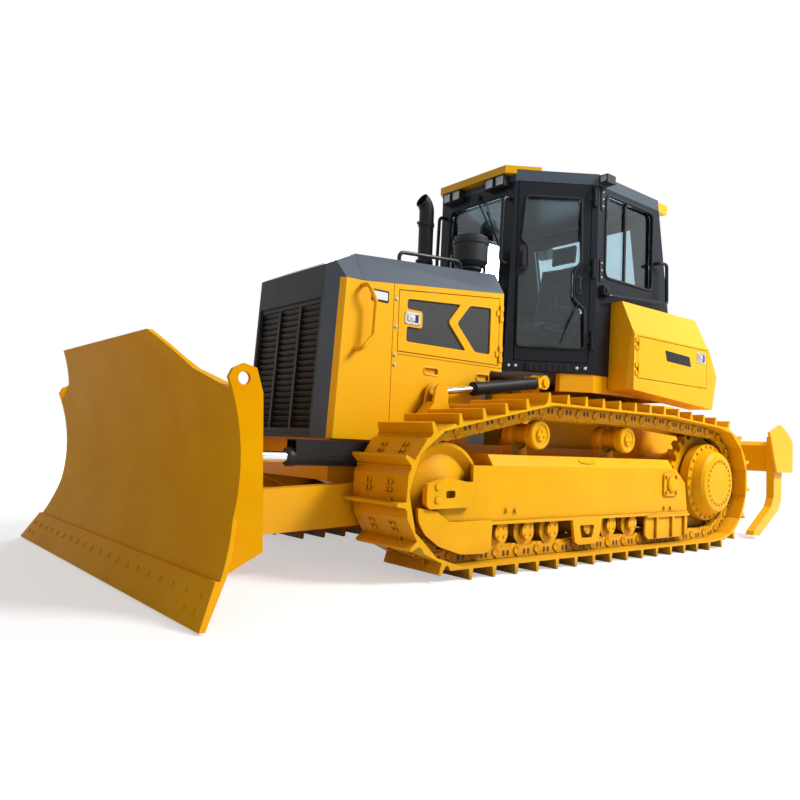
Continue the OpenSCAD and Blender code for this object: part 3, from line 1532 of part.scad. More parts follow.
module ripper_beam() {
    color(yellow) difference() {
        union() {
            side_view(-ripper_w / 2 + 1, ripper_w / 2 - 1) polygon([[beam_front, beam_low_z],
                [beam_front, beam_high_z - 40], [beam_front - 40, beam_high_z],
                [-ripper_reach + 60, beam_high_z], [-ripper_reach + 10, beam_high_z - 50],
                [-ripper_reach + 10, beam_low_z]]);
            both() side_view(ripper_w / 2 - lug_t,
                ripper_w / 2) polygon([[beam_front + 259, beam_high_z + 87],
                [beam_front + 89, beam_low_z - 3], [-ripper_reach, beam_low_z - 3],
                [-ripper_reach, beam_high_z], [beam_front - 140, beam_high_z + 101],
                [beam_front + 18, beam_high_z + 172]]);
            lug_pair(arm_mid, arm_half, lug_gap) beam_lug_shape();
            lug_pair(cyl_y, cyl_eye_half, lug_gap + 4) beam_lug_shape();
            both() for (p = [beam_lower, beam_upper]) {
                bar_y(p[0], p[1], rip_pin_r, link_in - lug_gap - 1, link_in + link_t + lug_gap + 1);
            }
        }
        for (y = shank_y) {
            box(shank_x[0] - seat_gap, shank_x[1] + seat_gap, y - shank_t / 2 - seat_gap,
                y + shank_t / 2 + seat_gap, 0, big / 2);
        }
    }
}

module ripper_shanks() {
    color(yellow) for (y = shank_y) {
        side_view(y - shank_t / 2, y + shank_t / 2) polygon([[shank_x[0], shank_top], [shank_x[0], 373],
            [beam_front - 70, 262], [beam_front + shank_reach * 0.72, 28], [beam_front + shank_reach, 40],
            [beam_front + shank_reach - 20, 78], [beam_front + shank_reach * 0.21, 300], [shank_x[1], 400],
            [shank_x[1], shank_top]]);
    }
}

cyl_len = norm(cyl_eye - cyl_base);
cyl_barrel_len = 0.686 * cyl_len;
cyl_rod_start = 0.4 * cyl_len;
cyl_rise = atan2(cyl_eye[1] - cyl_base[1], cyl_base[0] - cyl_eye[0]);

module ripper_cyl_place(y) {
    translate([cyl_base[0], y, cyl_base[1]]) rotate([0, 180 + cyl_rise, 0]) rotate([90, 0, 0]) children();
}

module ripper_barrels() {
    color(black) for (y = [-cyl_y, cyl_y]) ripper_cyl_place(y) 
        barrel(cyl_barrel_len, ripper_cyl_r, cyl_rod_r, 62, cyl_half, rip_pin_r);
}

module ripper_rods() {
    color(steel) for (y = [-cyl_y, cyl_y]) ripper_cyl_place(y) 
        rod(cyl_rod_start, cyl_len, cyl_rod_r, 58, cyl_eye_half);
}

main_frame();
engine();
nose();
grille();
hood();
side_panels();
handrails();
exhaust();
precleaner();
cab_base();
cab_front();
cab_sides();
cab_rear();
cab_roof();
cab_glass();
lamps();
seat();
console();
fenders();
track_frames();
idlers();
sprockets();
final_drives();
carrier_rollers();
track_rollers();
track_left();
track_right();
ripper_bracket();
c_frame();
blade_yoke();
blade();
cutting_edge();
angle_barrel_left();
angle_barrel_right();
angle_rod_left();
angle_rod_right();
lift_barrels();
lift_rods();
tilt_barrel();
tilt_rod();
ripper_arms();
ripper_links();
ripper_beam();
ripper_shanks();
ripper_barrels();
ripper_rods();
cab_door_left();
cab_door_right();
door_glass_left();
door_glass_right();
engine_door_left();
engine_door_right();
fender_door_left();
fender_door_right();
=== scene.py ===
import math
import bmesh
import bpy
from mathutils import Matrix, Vector


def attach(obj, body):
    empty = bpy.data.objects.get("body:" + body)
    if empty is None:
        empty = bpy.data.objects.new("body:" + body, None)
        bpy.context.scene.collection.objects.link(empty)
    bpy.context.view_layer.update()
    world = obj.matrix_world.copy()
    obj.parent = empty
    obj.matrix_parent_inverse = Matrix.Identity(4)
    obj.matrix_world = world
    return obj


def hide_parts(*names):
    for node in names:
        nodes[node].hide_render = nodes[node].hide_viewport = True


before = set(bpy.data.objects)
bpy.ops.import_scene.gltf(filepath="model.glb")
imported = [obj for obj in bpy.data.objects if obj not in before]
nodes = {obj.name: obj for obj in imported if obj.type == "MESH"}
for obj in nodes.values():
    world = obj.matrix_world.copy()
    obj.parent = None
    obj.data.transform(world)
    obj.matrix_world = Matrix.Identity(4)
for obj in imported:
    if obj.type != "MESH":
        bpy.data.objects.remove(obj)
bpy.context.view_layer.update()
print("frame loaded, nodes:", len(nodes))

# camera at the photograph's standpoint
cameraPlan = {"place": (4.5815, 4.2522, 0.7907), "yaw": 50.664, "pitch": 3.41, "roll": -2.365,
              "lens": 32.48, "sensor": 36, "farClip": 200}


def setCamera(plan):
    yaw, pitch, roll = (math.radians(plan[key]) for key in ("yaw", "pitch", "roll"))
    ahead = Vector((-math.cos(yaw) * math.cos(pitch), -math.sin(yaw) * math.cos(pitch), math.sin(pitch)))
    level = ahead.cross(Vector((0, 0, 1))).normalized()
    below = ahead.cross(level)
    right = math.cos(roll) * level + math.sin(roll) * below
    up = math.sin(roll) * level - math.cos(roll) * below
    bpy.ops.object.camera_add()
    camera = bpy.context.object
    camera.name = "photoCamera"
    turn = Matrix((right, up, -ahead)).transposed().to_4x4()
    camera.matrix_world = Matrix.Translation(plan["place"]) @ turn
    camera.data.sensor_width = plan["sensor"]
    camera.data.lens = plan["lens"]
    camera.data.clip_end = plan["farClip"]
    bpy.context.scene.camera = camera


setCamera(cameraPlan)


# node helpers: a socket given as a value is linked, anything else is set
def setInputs(tree, node, inputs):
    for key, value in inputs.items():
        if isinstance(value, bpy.types.NodeSocket):
            tree.links.new(value, node.inputs[key])
        else:
            node.inputs[key].default_value = value


def addNode(tree, kind, settings=None, inputs=None):
    node = tree.nodes.new("ShaderNode" + kind)
    for key, value in (settings or {}).items():
        setattr(node, key, value)
    setInputs(tree, node, inputs or {})
    return node


def mathNode(tree, operation, a, b=0.0, clamp=False):
    return addNode(tree, "Math", {"operation": operation, "use_clamp": clamp}, {0: a, 1: b}).outputs[0]


def mixColour(tree, factor, a, b):
    a, b = (c if isinstance(c, bpy.types.NodeSocket) else (*c, 1) for c in (a, b))
    return addNode(tree, "Mix", {"data_type": "RGBA"}, {0: factor, 6: a, 7: b}).outputs[2]


def mapRange(tree, value, low, high, toLow=0.0, toHigh=1.0, blend="LINEAR"):
    values = {"Value": value, "From Min": low, "From Max": high, "To Min": toLow, "To Max": toHigh}
    return addNode(tree, "MapRange", {"interpolation_type": blend}, values).outputs[0]


def objectCoords(tree):
    return addNode(tree, "TexCoord").outputs["Object"]


def noise(tree, coords, scale, detail, roughness=0.5):
    values = {"Vector": coords, "Scale": scale, "Detail": detail, "Roughness": roughness}
    return addNode(tree, "TexNoise", None, values).outputs["Fac"]


def wave(tree, coords, axis, scale, distortion=0.0):
    values = {"Vector": coords, "Scale": scale, "Distortion": distortion}
    return addNode(tree, "TexWave", {"bands_direction": axis}, values).outputs["Fac"]


def upOf(tree, vector):
    return addNode(tree, "SeparateXYZ", None, {"Vector": vector}).outputs["Z"]


def bumpFrom(tree, height, strength, distance):
    values = {"Strength": strength, "Distance": distance, "Height": height}
    return addNode(tree, "Bump", None, values).outputs[0]


def newGroup(name, inputs, outputs):
    group = bpy.data.node_groups.new(name, "ShaderNodeTree")
    for key, value in inputs.items():
        socket = group.interface.new_socket(name=key, in_out="INPUT", socket_type="NodeSocketFloat")
        socket.default_value = value
    for key in outputs:
        group.interface.new_socket(name=key, in_out="OUTPUT", socket_type="NodeSocketFloat")
    return group, group.nodes.new("NodeGroupInput").outputs, group.nodes.new("NodeGroupOutput").inputs


# rubbed paint along edges: where a rounded normal leaves the true one
def makeEdgeWear():
    group, given, result = newGroup("edgeWear", {"Width": 0.006, "Patch Scale": 9.0, "Amount": 0.5}, ["Mask"])
    softNormal = addNode(group, "Bevel", {"samples": 4}, {"Radius": given["Width"]}).outputs[0]
    trueNormal = addNode(group, "NewGeometry").outputs["Normal"]
    match = addNode(group, "VectorMath", {"operation": "DOT_PRODUCT"}, {0: softNormal, 1: trueNormal})
    edge = mapRange(group, match.outputs["Value"], 0.98, 0.80)
    patches = noise(group, objectCoords(group), given["Patch Scale"], 5.0, 0.65)
    rubbed = mathNode(group, "MULTIPLY", edge, mapRange(group, patches, 0.52, 0.66))
    group.links.new(mathNode(group, "MULTIPLY", rubbed, given["Amount"], True), result["Mask"])
    return group


# sprayed coat: fine peel for the bump and a slow change of tone
def makeSprayGrain():
    group, given, result = newGroup("sprayGrain", {"Peel Scale": 260.0, "Tone Scale": 1.7}, ["Peel", "Tone"])
    coords = objectCoords(group)
    group.links.new(noise(group, coords, given["Peel Scale"], 2.0), result["Peel"])
    tone = noise(group, coords, given["Tone Scale"], 6.0, 0.6)
    group.links.new(mapRange(group, tone, 0.3, 0.7), result["Tone"])
    return group


# pale dust that lies on level faces and rises from the ground
def makeSiteDust():
    group, given, result = newGroup("siteDust", {"Top": 0.9, "Amount": 0.4, "Level Faces": 0.3}, ["Mask"])
    coords = objectCoords(group)
    rise = mathNode(group, "DIVIDE", upOf(group, coords), given["Top"], True)
    low = mathNode(group, "SUBTRACT", 1.0, rise, True)
    upward = upOf(group, addNode(group, "NewGeometry").outputs["Normal"])
    level = mathNode(group, "MULTIPLY", mapRange(group, upward, 0.7, 1.0), given["Level Faces"])
    cloud = mapRange(group, noise(group, coords, 6.5, 8.0, 0.7), 0.35, 0.75)
    spread = mathNode(group, "MULTIPLY", mathNode(group, "ADD", low, level), cloud)
    group.links.new(mathNode(group, "MULTIPLY", spread, given["Amount"], True), result["Mask"])
    return group


# painted shade that gathers in corners, found from how closed in a place is
def makePaintedCornerShade():
    group, given, result = newGroup("paintedCornerShade", {"Reach": 0.10, "Amount": 0.6}, ["Mask"])
    clearSky = addNode(group, "AmbientOcclusion", {"samples": 4}, {"Distance": given["Reach"]}).outputs["AO"]
    cloud = mapRange(group, noise(group, objectCoords(group), 14.0, 6.0, 0.6), 0.25, 0.55, 0.6, 1.0)
    closed = mathNode(group, "MULTIPLY", mapRange(group, clearSky, 0.85, 0.25), cloud)
    group.links.new(mathNode(group, "MULTIPLY", closed, given["Amount"], True), result["Mask"])
    return group


edgeWear, sprayGrain = makeEdgeWear(), makeSprayGrain()
siteDust, paintedCornerShade = makeSiteDust(), makePaintedCornerShade()


def placeGroup(tree, group, values):
    return addNode(tree, "Group", {"node_tree": group}, values).outputs


def newMaterial(name):
    material = bpy.data.materials.new(name)
    material.use_nodes = True
    return material, material.node_tree, material.node_tree.nodes["Principled BSDF"]


# what a coat has unless its own plan says otherwise
coatBase = {"peel": 260.0, "toneScale": 1.7, "dustTop": 0.9, "levelDust": 0.3, "bump": 0.06, "bumpDepth": 0.002,
            "coat": 0.0, "coatRough": 0.12, "specular": 0.4, "metallic": 0.0, "toneRough": 0.06, "dryRough": 0.35}
dustTan = (0.62, 0.50, 0.33)
# the corner keys of a coat set the painted shade in its corners: its amount, reach and colour
coatPlan = {
    "yellowCoat": {
        "colour": (0.98, 0.50, 0.004), "deep": (0.92, 0.45, 0.003), "under": (0.30, 0.13, 0.03), "rough": 0.30,
        "wear": 0.30, "dust": 0.06, "dustTop": 0.8, "levelDust": 0.25, "dustColour": dustTan, "coat": 0.06,
        "specular": 0.2, "paintedShade": 0.55, "paintedShadeReach": 0.10, "paintedShadeColour": (0.20, 0.09, 0.006)},
    "undercarriageCoat": {
        "colour": (0.95, 0.475, 0.003), "deep": (0.88, 0.42, 0.002), "under": (0.25, 0.12, 0.03), "rough": 0.36,
        "wear": 0.6, "dust": 0.08, "dustTop": 0.6, "dustColour": dustTan, "bump": 0.12, "toneScale": 4.0,
        "specular": 0.12, "paintedShade": 0.85, "paintedShadeReach": 0.14, "paintedShadeColour": (0.11, 0.048, 0.004)},
    # the blade's coat is the body's yellow painted darker and more orange: painted shade
    "shadedBladeCoat": {
        "colour": (0.97, 0.44, 0.002), "deep": (0.89, 0.37, 0.001), "under": (0.32, 0.16, 0.05), "rough": 0.32,
        "wear": 0.5, "dust": 0.06, "dustTop": 0.6, "levelDust": 0.2, "dustColour": dustTan, "bump": 0.10,
        "toneScale": 2.6, "specular": 0.01, "paintedShade": 0.4, "paintedShadeReach": 0.06, "paintedShadeColour": (0.22, 0.09, 0.004)},
    "slateCoat": {
        "colour": (0.082, 0.105, 0.135), "deep": (0.062, 0.080, 0.104), "under": (0.22, 0.22, 0.22), "rough": 0.34,
        "wear": 0.3, "dust": 0.06, "dustTop": 1.0, "levelDust": 0.5, "dustColour": (0.45, 0.45, 0.44),
        "coat": 0.08, "specular": 0.2},
    "cabCoat": {
        "colour": (0.0135, 0.018, 0.025), "deep": (0.009, 0.012, 0.017), "under": (0.16, 0.16, 0.16), "rough": 0.33,
        "wear": 0.3, "dust": 0.04, "dustTop": 1.6, "levelDust": 0.4, "dustColour": (0.34, 0.33, 0.31),
        "coat": 0.06, "specular": 0.14},
    "blackCoat": {
        "colour": (0.016, 0.017, 0.019), "deep": (0.010, 0.011, 0.012), "under": (0.20, 0.19, 0.18), "rough": 0.42,
        "wear": 0.45, "dust": 0.05, "dustTop": 1.4, "levelDust": 0.4, "dustColour": (0.36, 0.33, 0.28),
        "specular": 0.2},
    "engineCasting": {
        "colour": (0.05, 0.05, 0.055), "deep": (0.03, 0.03, 0.033), "under": (0.18, 0.17, 0.16), "rough": 0.62,
        "wear": 0.4, "dust": 0.3, "dustTop": 2.0, "dustColour": (0.3, 0.26, 0.2), "bump": 0.3, "peel": 90.0},
    # dark brown of the link recesses: painted shade
    "linkRecessShade": {
        "colour": (0.095, 0.044, 0.004), "deep": (0.055, 0.026, 0.003), "under": (0.20, 0.10, 0.03), "rough": 0.60,
        "wear": 0.3, "dust": 0.08, "dustTop": 0.6, "dustColour": dustTan},
    "boltSteel": {
        "colour": (0.62, 0.63, 0.65), "deep": (0.48, 0.48, 0.49), "under": (0.3, 0.25, 0.2), "rough": 0.30,
        "wear": 0.3, "dust": 0.15, "dustColour": (0.4, 0.34, 0.26), "metallic": 0.9},
    "mouldedPlastic": {
        "colour": (0.030, 0.032, 0.036), "deep": (0.020, 0.022, 0.025), "under": (0.08, 0.08, 0.08), "rough": 0.55,
        "wear": 0.15, "dust": 0.06, "dustTop": 2.4, "dustColour": (0.3, 0.29, 0.27), "bump": 0.25, "peel": 520.0,
        "specular": 0.2},
    "rubberSeal": {
        "colour": (0.014, 0.014, 0.015), "deep": (0.009, 0.009, 0.010), "under": (0.05, 0.05, 0.05), "rough": 0.68,
        "wear": 0.1, "dust": 0.03, "dustTop": 3.0, "dustColour": (0.25, 0.24, 0.22), "bump": 0.2, "peel": 700.0,
        "specular": 0.3},
}


def coatMaterial(name, ownPlan):
    plan = {**coatBase, **ownPlan}
    material, tree, shader = newMaterial(name)
    grain = placeGroup(tree, sprayGrain, {"Peel Scale": plan["peel"], "Tone Scale": plan["toneScale"]})
    wear = placeGroup(tree, edgeWear, {"Amount": plan["wear"]})["Mask"]
    dustValues = {"Top": plan["dustTop"], "Amount": plan["dust"], "Level Faces": plan["levelDust"]}
    dust = placeGroup(tree, siteDust, dustValues)["Mask"]
    colour = mixColour(tree, grain["Tone"], plan["deep"], plan["colour"])
    colour = mixColour(tree, wear, colour, plan["under"])
    colour = mixColour(tree, dust, colour, plan["dustColour"])
    # painted shade: the colour darkens in corners and gaps
    if "paintedShade" in plan:
        paintedShade = placeGroup(tree, paintedCornerShade, {"Reach": plan["paintedShadeReach"], "Amount": plan["paintedShade"]})["Mask"]
        colour = mixColour(tree, paintedShade, colour, plan["paintedShadeColour"])
    rough = mapRange(tree, grain["Tone"], 0.0, 1.0, plan["rough"] + plan["toneRough"], plan["rough"])
    dry = mathNode(tree, "MULTIPLY", mathNode(tree, "ADD", dust, wear), plan["dryRough"])
    setInputs(tree, shader, {
        "Base Color": colour, "Roughness": mathNode(tree, "ADD", rough, dry, True),
        "Normal": bumpFrom(tree, grain["Peel"], plan["bump"], plan["bumpDepth"]),
        "Coat Weight": plan["coat"], "Coat Roughness": plan["coatRough"],
        "Specular IOR Level": plan["specular"], "Metallic": plan["metallic"]})
    return material


# masks of the other finishes: what parts their two colours, and the height of their bump
def turningMarks(tree, plan):
    grain = placeGroup(tree, sprayGrain, {"Peel Scale": plan["marks"], "Tone Scale": plan["film"]})
    return grain["Tone"], grain["Peel"]


def dustFilm(tree, plan):
    return placeGroup(tree, siteDust, plan["film"])["Mask"], None


def slantedWires(tree, plan):
    coords = objectCoords(tree)
    strands = []
    for slant in (plan["slant"], -plan["slant"]):
        values = {"Vector": coords, "Rotation": (0, math.radians(slant), 0)}
        turned = addNode(tree, "Mapping", None, values).outputs[0]
        strands.append(mapRange(tree, wave(tree, turned, "X", plan["scale"]), *plan["strand"]))
    strand = mathNode(tree, "MAXIMUM", *strands)
    return strand, strand


def clothWeave(tree, plan):
    coords = objectCoords(tree)
    warp, weft, rise = (wave(tree, coords, axis, plan["scale"], plan["slack"]) for axis in "XYZ")
    weave = mathNode(tree, "MULTIPLY", mathNode(tree, "ADD", warp, rise), weft)
    return weave, weave


def lensRibs(tree, plan):
    rib = wave(tree, objectCoords(tree), "Y", plan["scale"])
    return rib, rib


# each has two colours, the roughness of each, strength and depth of its bump, and plain shader values
finePlan = {
    "polishedRod": {
        "masks": turningMarks, "marks": 420.0, "film": 7.0, "rough": (0.16, 0.07), "bump": (0.02, 0.001),
        "colours": ((0.62, 0.63, 0.65), (0.82, 0.83, 0.85)), "plain": {"Metallic": 1.0}},
    "tintedPane": {
        "masks": dustFilm, "film": {"Top": 4.0, "Amount": 0.08, "Level Faces": 0.2}, "rough": (0.015, 0.30),
        "colours": ((0.62, 0.77, 0.83), (0.62, 0.62, 0.60)), "plain": {"Transmission Weight": 1.0, "IOR": 1.45}},
    "wireMesh": {
        "masks": slantedWires, "slant": 45, "scale": 22.0, "strand": (0.55, 0.8), "rough": (0.9, 0.4),
        "bump": (0.6, 0.004), "colours": ((0.003, 0.003, 0.0035), (0.05, 0.052, 0.056)), "plain": {}},
    "seatCloth": {
        "masks": clothWeave, "scale": 95.0, "slack": 0.6, "top": 2.0, "rough": (0.95, 0.75), "bump": (0.4, 0.002),
        "colours": ((0.012, 0.013, 0.015), (0.055, 0.058, 0.063)), "plain": {"Sheen Weight": 0.3}},
    "lampLens": {
        "masks": lensRibs, "scale": 70.0, "rough": (0.10, 0.22), "bump": (0.5, 0.004),
        "colours": ((0.30, 0.32, 0.35), (0.43, 0.442, 0.46)), "plain": {"Metallic": 0.4}},
}


def fineMaterial(name, plan):
    material, tree, shader = newMaterial(name)
    mask, height = plan["masks"](tree, plan)
    setInputs(tree, shader, {
        "Base Color": mixColour(tree, mask, *plan["colours"]),
        "Roughness": mapRange(tree, mask, 0.0, plan.get("top", 1.0), *plan["rough"]), **plan["plain"]})
    if "bump" in plan:
        setInputs(tree, shader, {"Normal": bumpFrom(tree, height, *plan["bump"])})
    return material


finish = {name: coatMaterial(name, plan) for name, plan in coatPlan.items()}
finish.update({name: fineMaterial(name, plan) for name, plan in finePlan.items()})
print("materials made:", len(finish))

# finish of each CAD node
nodeFinish = {
    "yellowCoat": ["main_frame", "side_panels", "fenders", "engine_door_left", "engine_door_right",
                   "fender_door_left", "fender_door_right", "ripper_bracket", "ripper_arms", "ripper_links",
                   "ripper_beam", "ripper_shanks", "c_frame", "blade_yoke"],
    # blade and cutting edge take the darker blade coat, which holds painted shade
    "shadedBladeCoat": ["blade", "cutting_edge"],
    "undercarriageCoat": ["track_frames", "idlers", "sprockets", "final_drives", "carrier_rollers",
                          "track_rollers", "track_left", "track_right"],
    "slateCoat": ["nose", "hood", "cab_roof"],
    "cabCoat": ["cab_base", "cab_front", "cab_sides", "cab_rear", "cab_door_left", "cab_door_right", "handrails"],
    "blackCoat": ["grille", "exhaust", "lift_barrels", "tilt_barrel", "ripper_barrels",
                  "angle_barrel_left", "angle_barrel_right"],
    "polishedRod": ["lift_rods", "tilt_rod", "ripper_rods", "angle_rod_left", "angle_rod_right"],
    "engineCasting": ["engine"],
    "mouldedPlastic": ["precleaner", "lamps", "console"],
    "seatCloth": ["seat"],
    "tintedPane": ["cab_glass", "door_glass_left", "door_glass_right"],
}
for finishName, names in nodeFinish.items():
    for name in names:
        nodes[name].data.materials.clear()
        nodes[name].data.materials.append(finish[finishName])


# faces of a node that have another finish, chosen by their middle and normal
def onVisors(c, n):
    inMiddle = -0.85 < c.x < -0.65 and abs(c.y) > 0.75
    return (c.z > 3.0105 and not inMiddle) or c.x > 0.348 or c.x < -1.085


def onScreen(c, n):
    return abs(c.y) < 0.5085 and 0.67 < c.x < 1.495 and 1.475 < c.z < 1.83 and abs(n.y) > 0.9


def finishFaces(name, finishName, chosen):
    mesh = nodes[name].data
    mesh.materials.append(finish[finishName])
    for face in mesh.polygons:
        if chosen(face.center, face.normal):
            face.material_index = len(mesh.materials) - 1


finishFaces("cab_base", "yellowCoat", lambda c, n: c.z < 1.389)  # below the sill
finishFaces("cab_roof", "yellowCoat", onVisors)
finishFaces("lift_barrels", "yellowCoat", lambda c, n: c.x < 0.29)  # the rear eyes
finishFaces("handrails", "yellowCoat", lambda c, n: c.x > 1.7)  # the rails beside the grille
for side in ("left", "right"):
    finishFaces("engine_door_" + side, "wireMesh", onScreen)
finishFaces("nose", "blackCoat", lambda c, n: n.x > 0.97)  # behind the bars
print("finishes set")


# modelling helpers
def setMode(mode):
    bpy.ops.object.mode_set(mode=mode)


def clearSelection():
    if bpy.context.mode != "OBJECT":
        setMode("OBJECT")
    bpy.ops.object.select_all(action="DESELECT")


def activate(piece):
    clearSelection()
    piece.select_set(True)
    bpy.context.view_layer.objects.active = piece


def pickFaces(piece, chosen):
    shape = bmesh.from_edit_mesh(piece.data)
    bpy.ops.mesh.select_mode(type="FACE")
    for face in shape.faces:
        face.select_set(bool(chosen(face.calc_center_median(), face.normal)))
    shape.select_flush_mode()
    bmesh.update_edit_mesh(piece.data)


def pickAll():
    bpy.ops.mesh.select_all(action="SELECT")


def pushOut(way):
    bpy.ops.mesh.extrude_region_move(TRANSFORM_OT_translate={"value": way})


def closeShape():
    pickAll()
    bpy.ops.mesh.normals_make_consistent(inside=False)
    setMode("OBJECT")


def settle(piece, body, finishName):
    activate(piece)
    bpy.ops.object.transform_apply()
    piece.data.materials.clear()
    piece.data.materials.append(finish[finishName])
    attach(piece, body)
    return piece


def smoothByAngle(piece, degrees=35):
    activate(piece)
    bpy.ops.object.shade_smooth_by_angle(angle=math.radians(degrees))


# a block with bevelled edges
def startBox(name, low, high, rim):
    clearSelection()
    middle = [(a + b) / 2 for a, b in zip(low, high)]
    bpy.ops.mesh.primitive_cube_add(size=1, location=middle, scale=[b - a for a, b in zip(low, high)])
    piece = bpy.context.object
    piece.name = name
    bpy.ops.object.transform_apply()
    setMode("EDIT")
    pickAll()
    bpy.ops.mesh.bevel(offset=rim, segments=2)
    setMode("OBJECT")
    return piece


def joinPieces(name, pieces):
    clearSelection()
    for piece in pieces:
        piece.select_set(True)
    bpy.context.view_layer.objects.active = pieces[0]
    if len(pieces) > 1:
        bpy.ops.object.join()
    pieces[0].name = name
    return pieces[0]


def twinOf(piece):
    twin = piece.copy()
    twin.data = piece.data.copy()
    bpy.context.scene.collection.objects.link(twin)
    return twin


# turns a shape so that its own Z follows a direction, and sets it in its place
def standAt(piece, spot, facing=(0, 1, 0)):
    turn = Vector(facing).to_track_quat("Z", "Y").to_matrix().to_4x4()
    piece.data.transform(Matrix.Translation(spot) @ turn)
    return piece


def copyTo(source, name, places):
    copies = joinPieces(name, [standAt(twinOf(source), *place) for place in places])
    bpy.data.objects.remove(source)
    return copies


def mirrored(places):
    return places + [((x, -y, z), (a, -b, c)) for (x, y, z), (a, b, c) in places]


# places on the left side that face outwards
def sideways(spots):
    return [(spot, (0, 1, 0)) for spot in spots]


# spots on a ring that faces sideways
def ringAt(x, y, z, radius, count, start):
    turns = [start + 2 * math.pi / count * k for k in range(count)]
    return [(x + radius * math.cos(a), y, z + radius * math.sin(a)) for a in turns]


# an outline with its corners turned on a curve
def rounded(points, radius, steps=4):
    most = 0.48  # of a side, for one corner
    made = []
    for i, corner in enumerate(points):
        here = Vector(corner)
        before, after = Vector(points[i - 1]) - here, Vector(points[(i + 1) % len(points)]) - here
        reach = min(radius / math.tan(before.angle(after) / 2), before.length * most, after.length * most)
        a, b = here + before.normalized() * reach, here + after.normalized() * reach
        for t in (k / steps for k in range(steps + 1)):
            made.append(tuple(a * (1 - t) ** 2 + here * (2 * t * (1 - t)) + b * t ** 2))
    return made


def rectangle(low, high):
    return [(low[0], low[1]), (high[0], low[1]), (high[0], high[1]), (low[0], high[1])]


def roundedBox(box, radius, steps=4):
    return rounded(rectangle(*box), radius, steps)


def shrunk(box, across, up):
    low, high = box
    return (low[0] + across, low[1] + up), (high[0] - across, high[1] - up)


# a flat outline pushed out to a plate with a chamfered face
def startOutline(name, points, push, rim=0.0):
    clearSelection()
    bpy.ops.mesh.primitive_circle_add(vertices=len(points), fill_type="NGON")
    piece = bpy.context.object
    piece.name = name
    setMode("EDIT")
    shape = bmesh.from_edit_mesh(piece.data)
    shape.verts.ensure_lookup_table()
    for vert, point in zip(shape.verts, points):
        vert.co = point
    bmesh.update_edit_mesh(piece.data)
    way = Vector(push)
    pickAll()
    pushOut(way * (1 - rim / way.length))
    if rim:
        bpy.ops.mesh.inset(thickness=rim)
        bpy.ops.transform.translate(value=way.normalized() * rim)
    closeShape()
    return piece


# upright plates on the left side, and level ones
def sidePlate(name, outline, y, push, rim=0.0):
    return startOutline(name, [(x, y, z) for x, z in outline], (0, push, 0), rim)


def levelPlate(name, outline, z, push, rim=0.0):
    return startOutline(name, [(x, y, z) for x, y in outline], (0, 0, push), rim)


# a round bar or bead that follows a line
def tubeAlong(name, points, radius, closed=False, sides=2):
    line = bpy.data.curves.new(name, "CURVE")
    line.dimensions = "3D"
    line.bevel_depth, line.bevel_resolution, line.use_fill_caps = radius, sides, True
    run = line.splines.new("POLY")
    run.points.add(len(points) - 1)
    for mark, point in zip(run.points, points):
        mark.co = (*point, 1)
    run.use_cyclic_u = closed
    piece = bpy.data.objects.new(name, line)
    bpy.context.scene.collection.objects.link(piece)
    activate(piece)
    bpy.ops.object.convert(target="MESH")
    return bpy.context.object


# a turned shape: a disc pushed up ring by ring to a profile of radius and height along Z
def startTurned(name, profile, sides=24):
    clearSelection()
    radius, height = profile[0]
    bpy.ops.mesh.primitive_circle_add(vertices=sides, radius=radius, fill_type="NGON", location=(0, 0, height))
    piece = bpy.context.object
    piece.name = name
    bpy.ops.object.transform_apply()
    setMode("EDIT")
    pickAll()
    for (r0, z0), (r1, z1) in zip(profile, profile[1:]):
        pushOut((0, 0, z1 - z0))
        bpy.ops.transform.resize(value=(r1 / r0, r1 / r0, 1))
    closeShape()
    return piece


# a piece on the tractor, joined from its parts
def settleOne(name, pieces, finishName, angle=35):
    piece = joinPieces(name, pieces)
    smoothByAngle(piece, angle)
    return settle(piece, "tractor", finishName)


# a piece of the left side and its mirror image: one piece on the tractor, or one on each door
def settleBoth(name, pieces, finishName, body="tractor", angle=35):
    left = joinPieces(name, pieces)
    right = twinOf(left)
    right.data.transform(Matrix.Diagonal((1, -1, 1, 1)))
    right.data.flip_normals()
    if body == "tractor":
        return settleOne(name, [left, right], finishName, angle)
    left.name, right.name = name + "Left", name + "Right"
    for piece, side in ((left, "_left"), (right, "_right")):
        smoothByAngle(piece, angle)
        settle(piece, body + side, finishName)


# a flanged hex bolt that stands on the ground plane, in shares of its size
hexPlan = {"height": 0.8, "lift": 0.55, "chamfer": 0.16, "crown": 0.12, "washer": 0.05, "foot": 0.2, "flange": 1.35}


def hexBolt(size, plan=hexPlan):
    clearSelection()
    bpy.ops.mesh.primitive_cylinder_add(vertices=6, radius=size, depth=size * plan["height"],
                                        location=(0, 0, size * plan["lift"]))
    bolt = bpy.context.object
    bpy.ops.object.transform_apply()
    setMode("EDIT")
    pickFaces(bolt, lambda c, n: n.z > 0.9)
    bpy.ops.mesh.inset(thickness=size * plan["chamfer"])
    bpy.ops.transform.translate(value=(0, 0, size * plan["crown"]))
    pickFaces(bolt, lambda c, n: n.z < -0.9)
    bpy.ops.mesh.inset(thickness=size * plan["washer"], use_outset=True)
    pushOut((0, 0, -size * plan["foot"]))
    bpy.ops.transform.resize(value=(plan["flange"], plan["flange"], 1))
    setMode("OBJECT")
    return bolt


def settleBolts(name, size, places, finishName):
    settle(copyTo(hexBolt(size), name, mirrored(places)), "tractor", finishName)


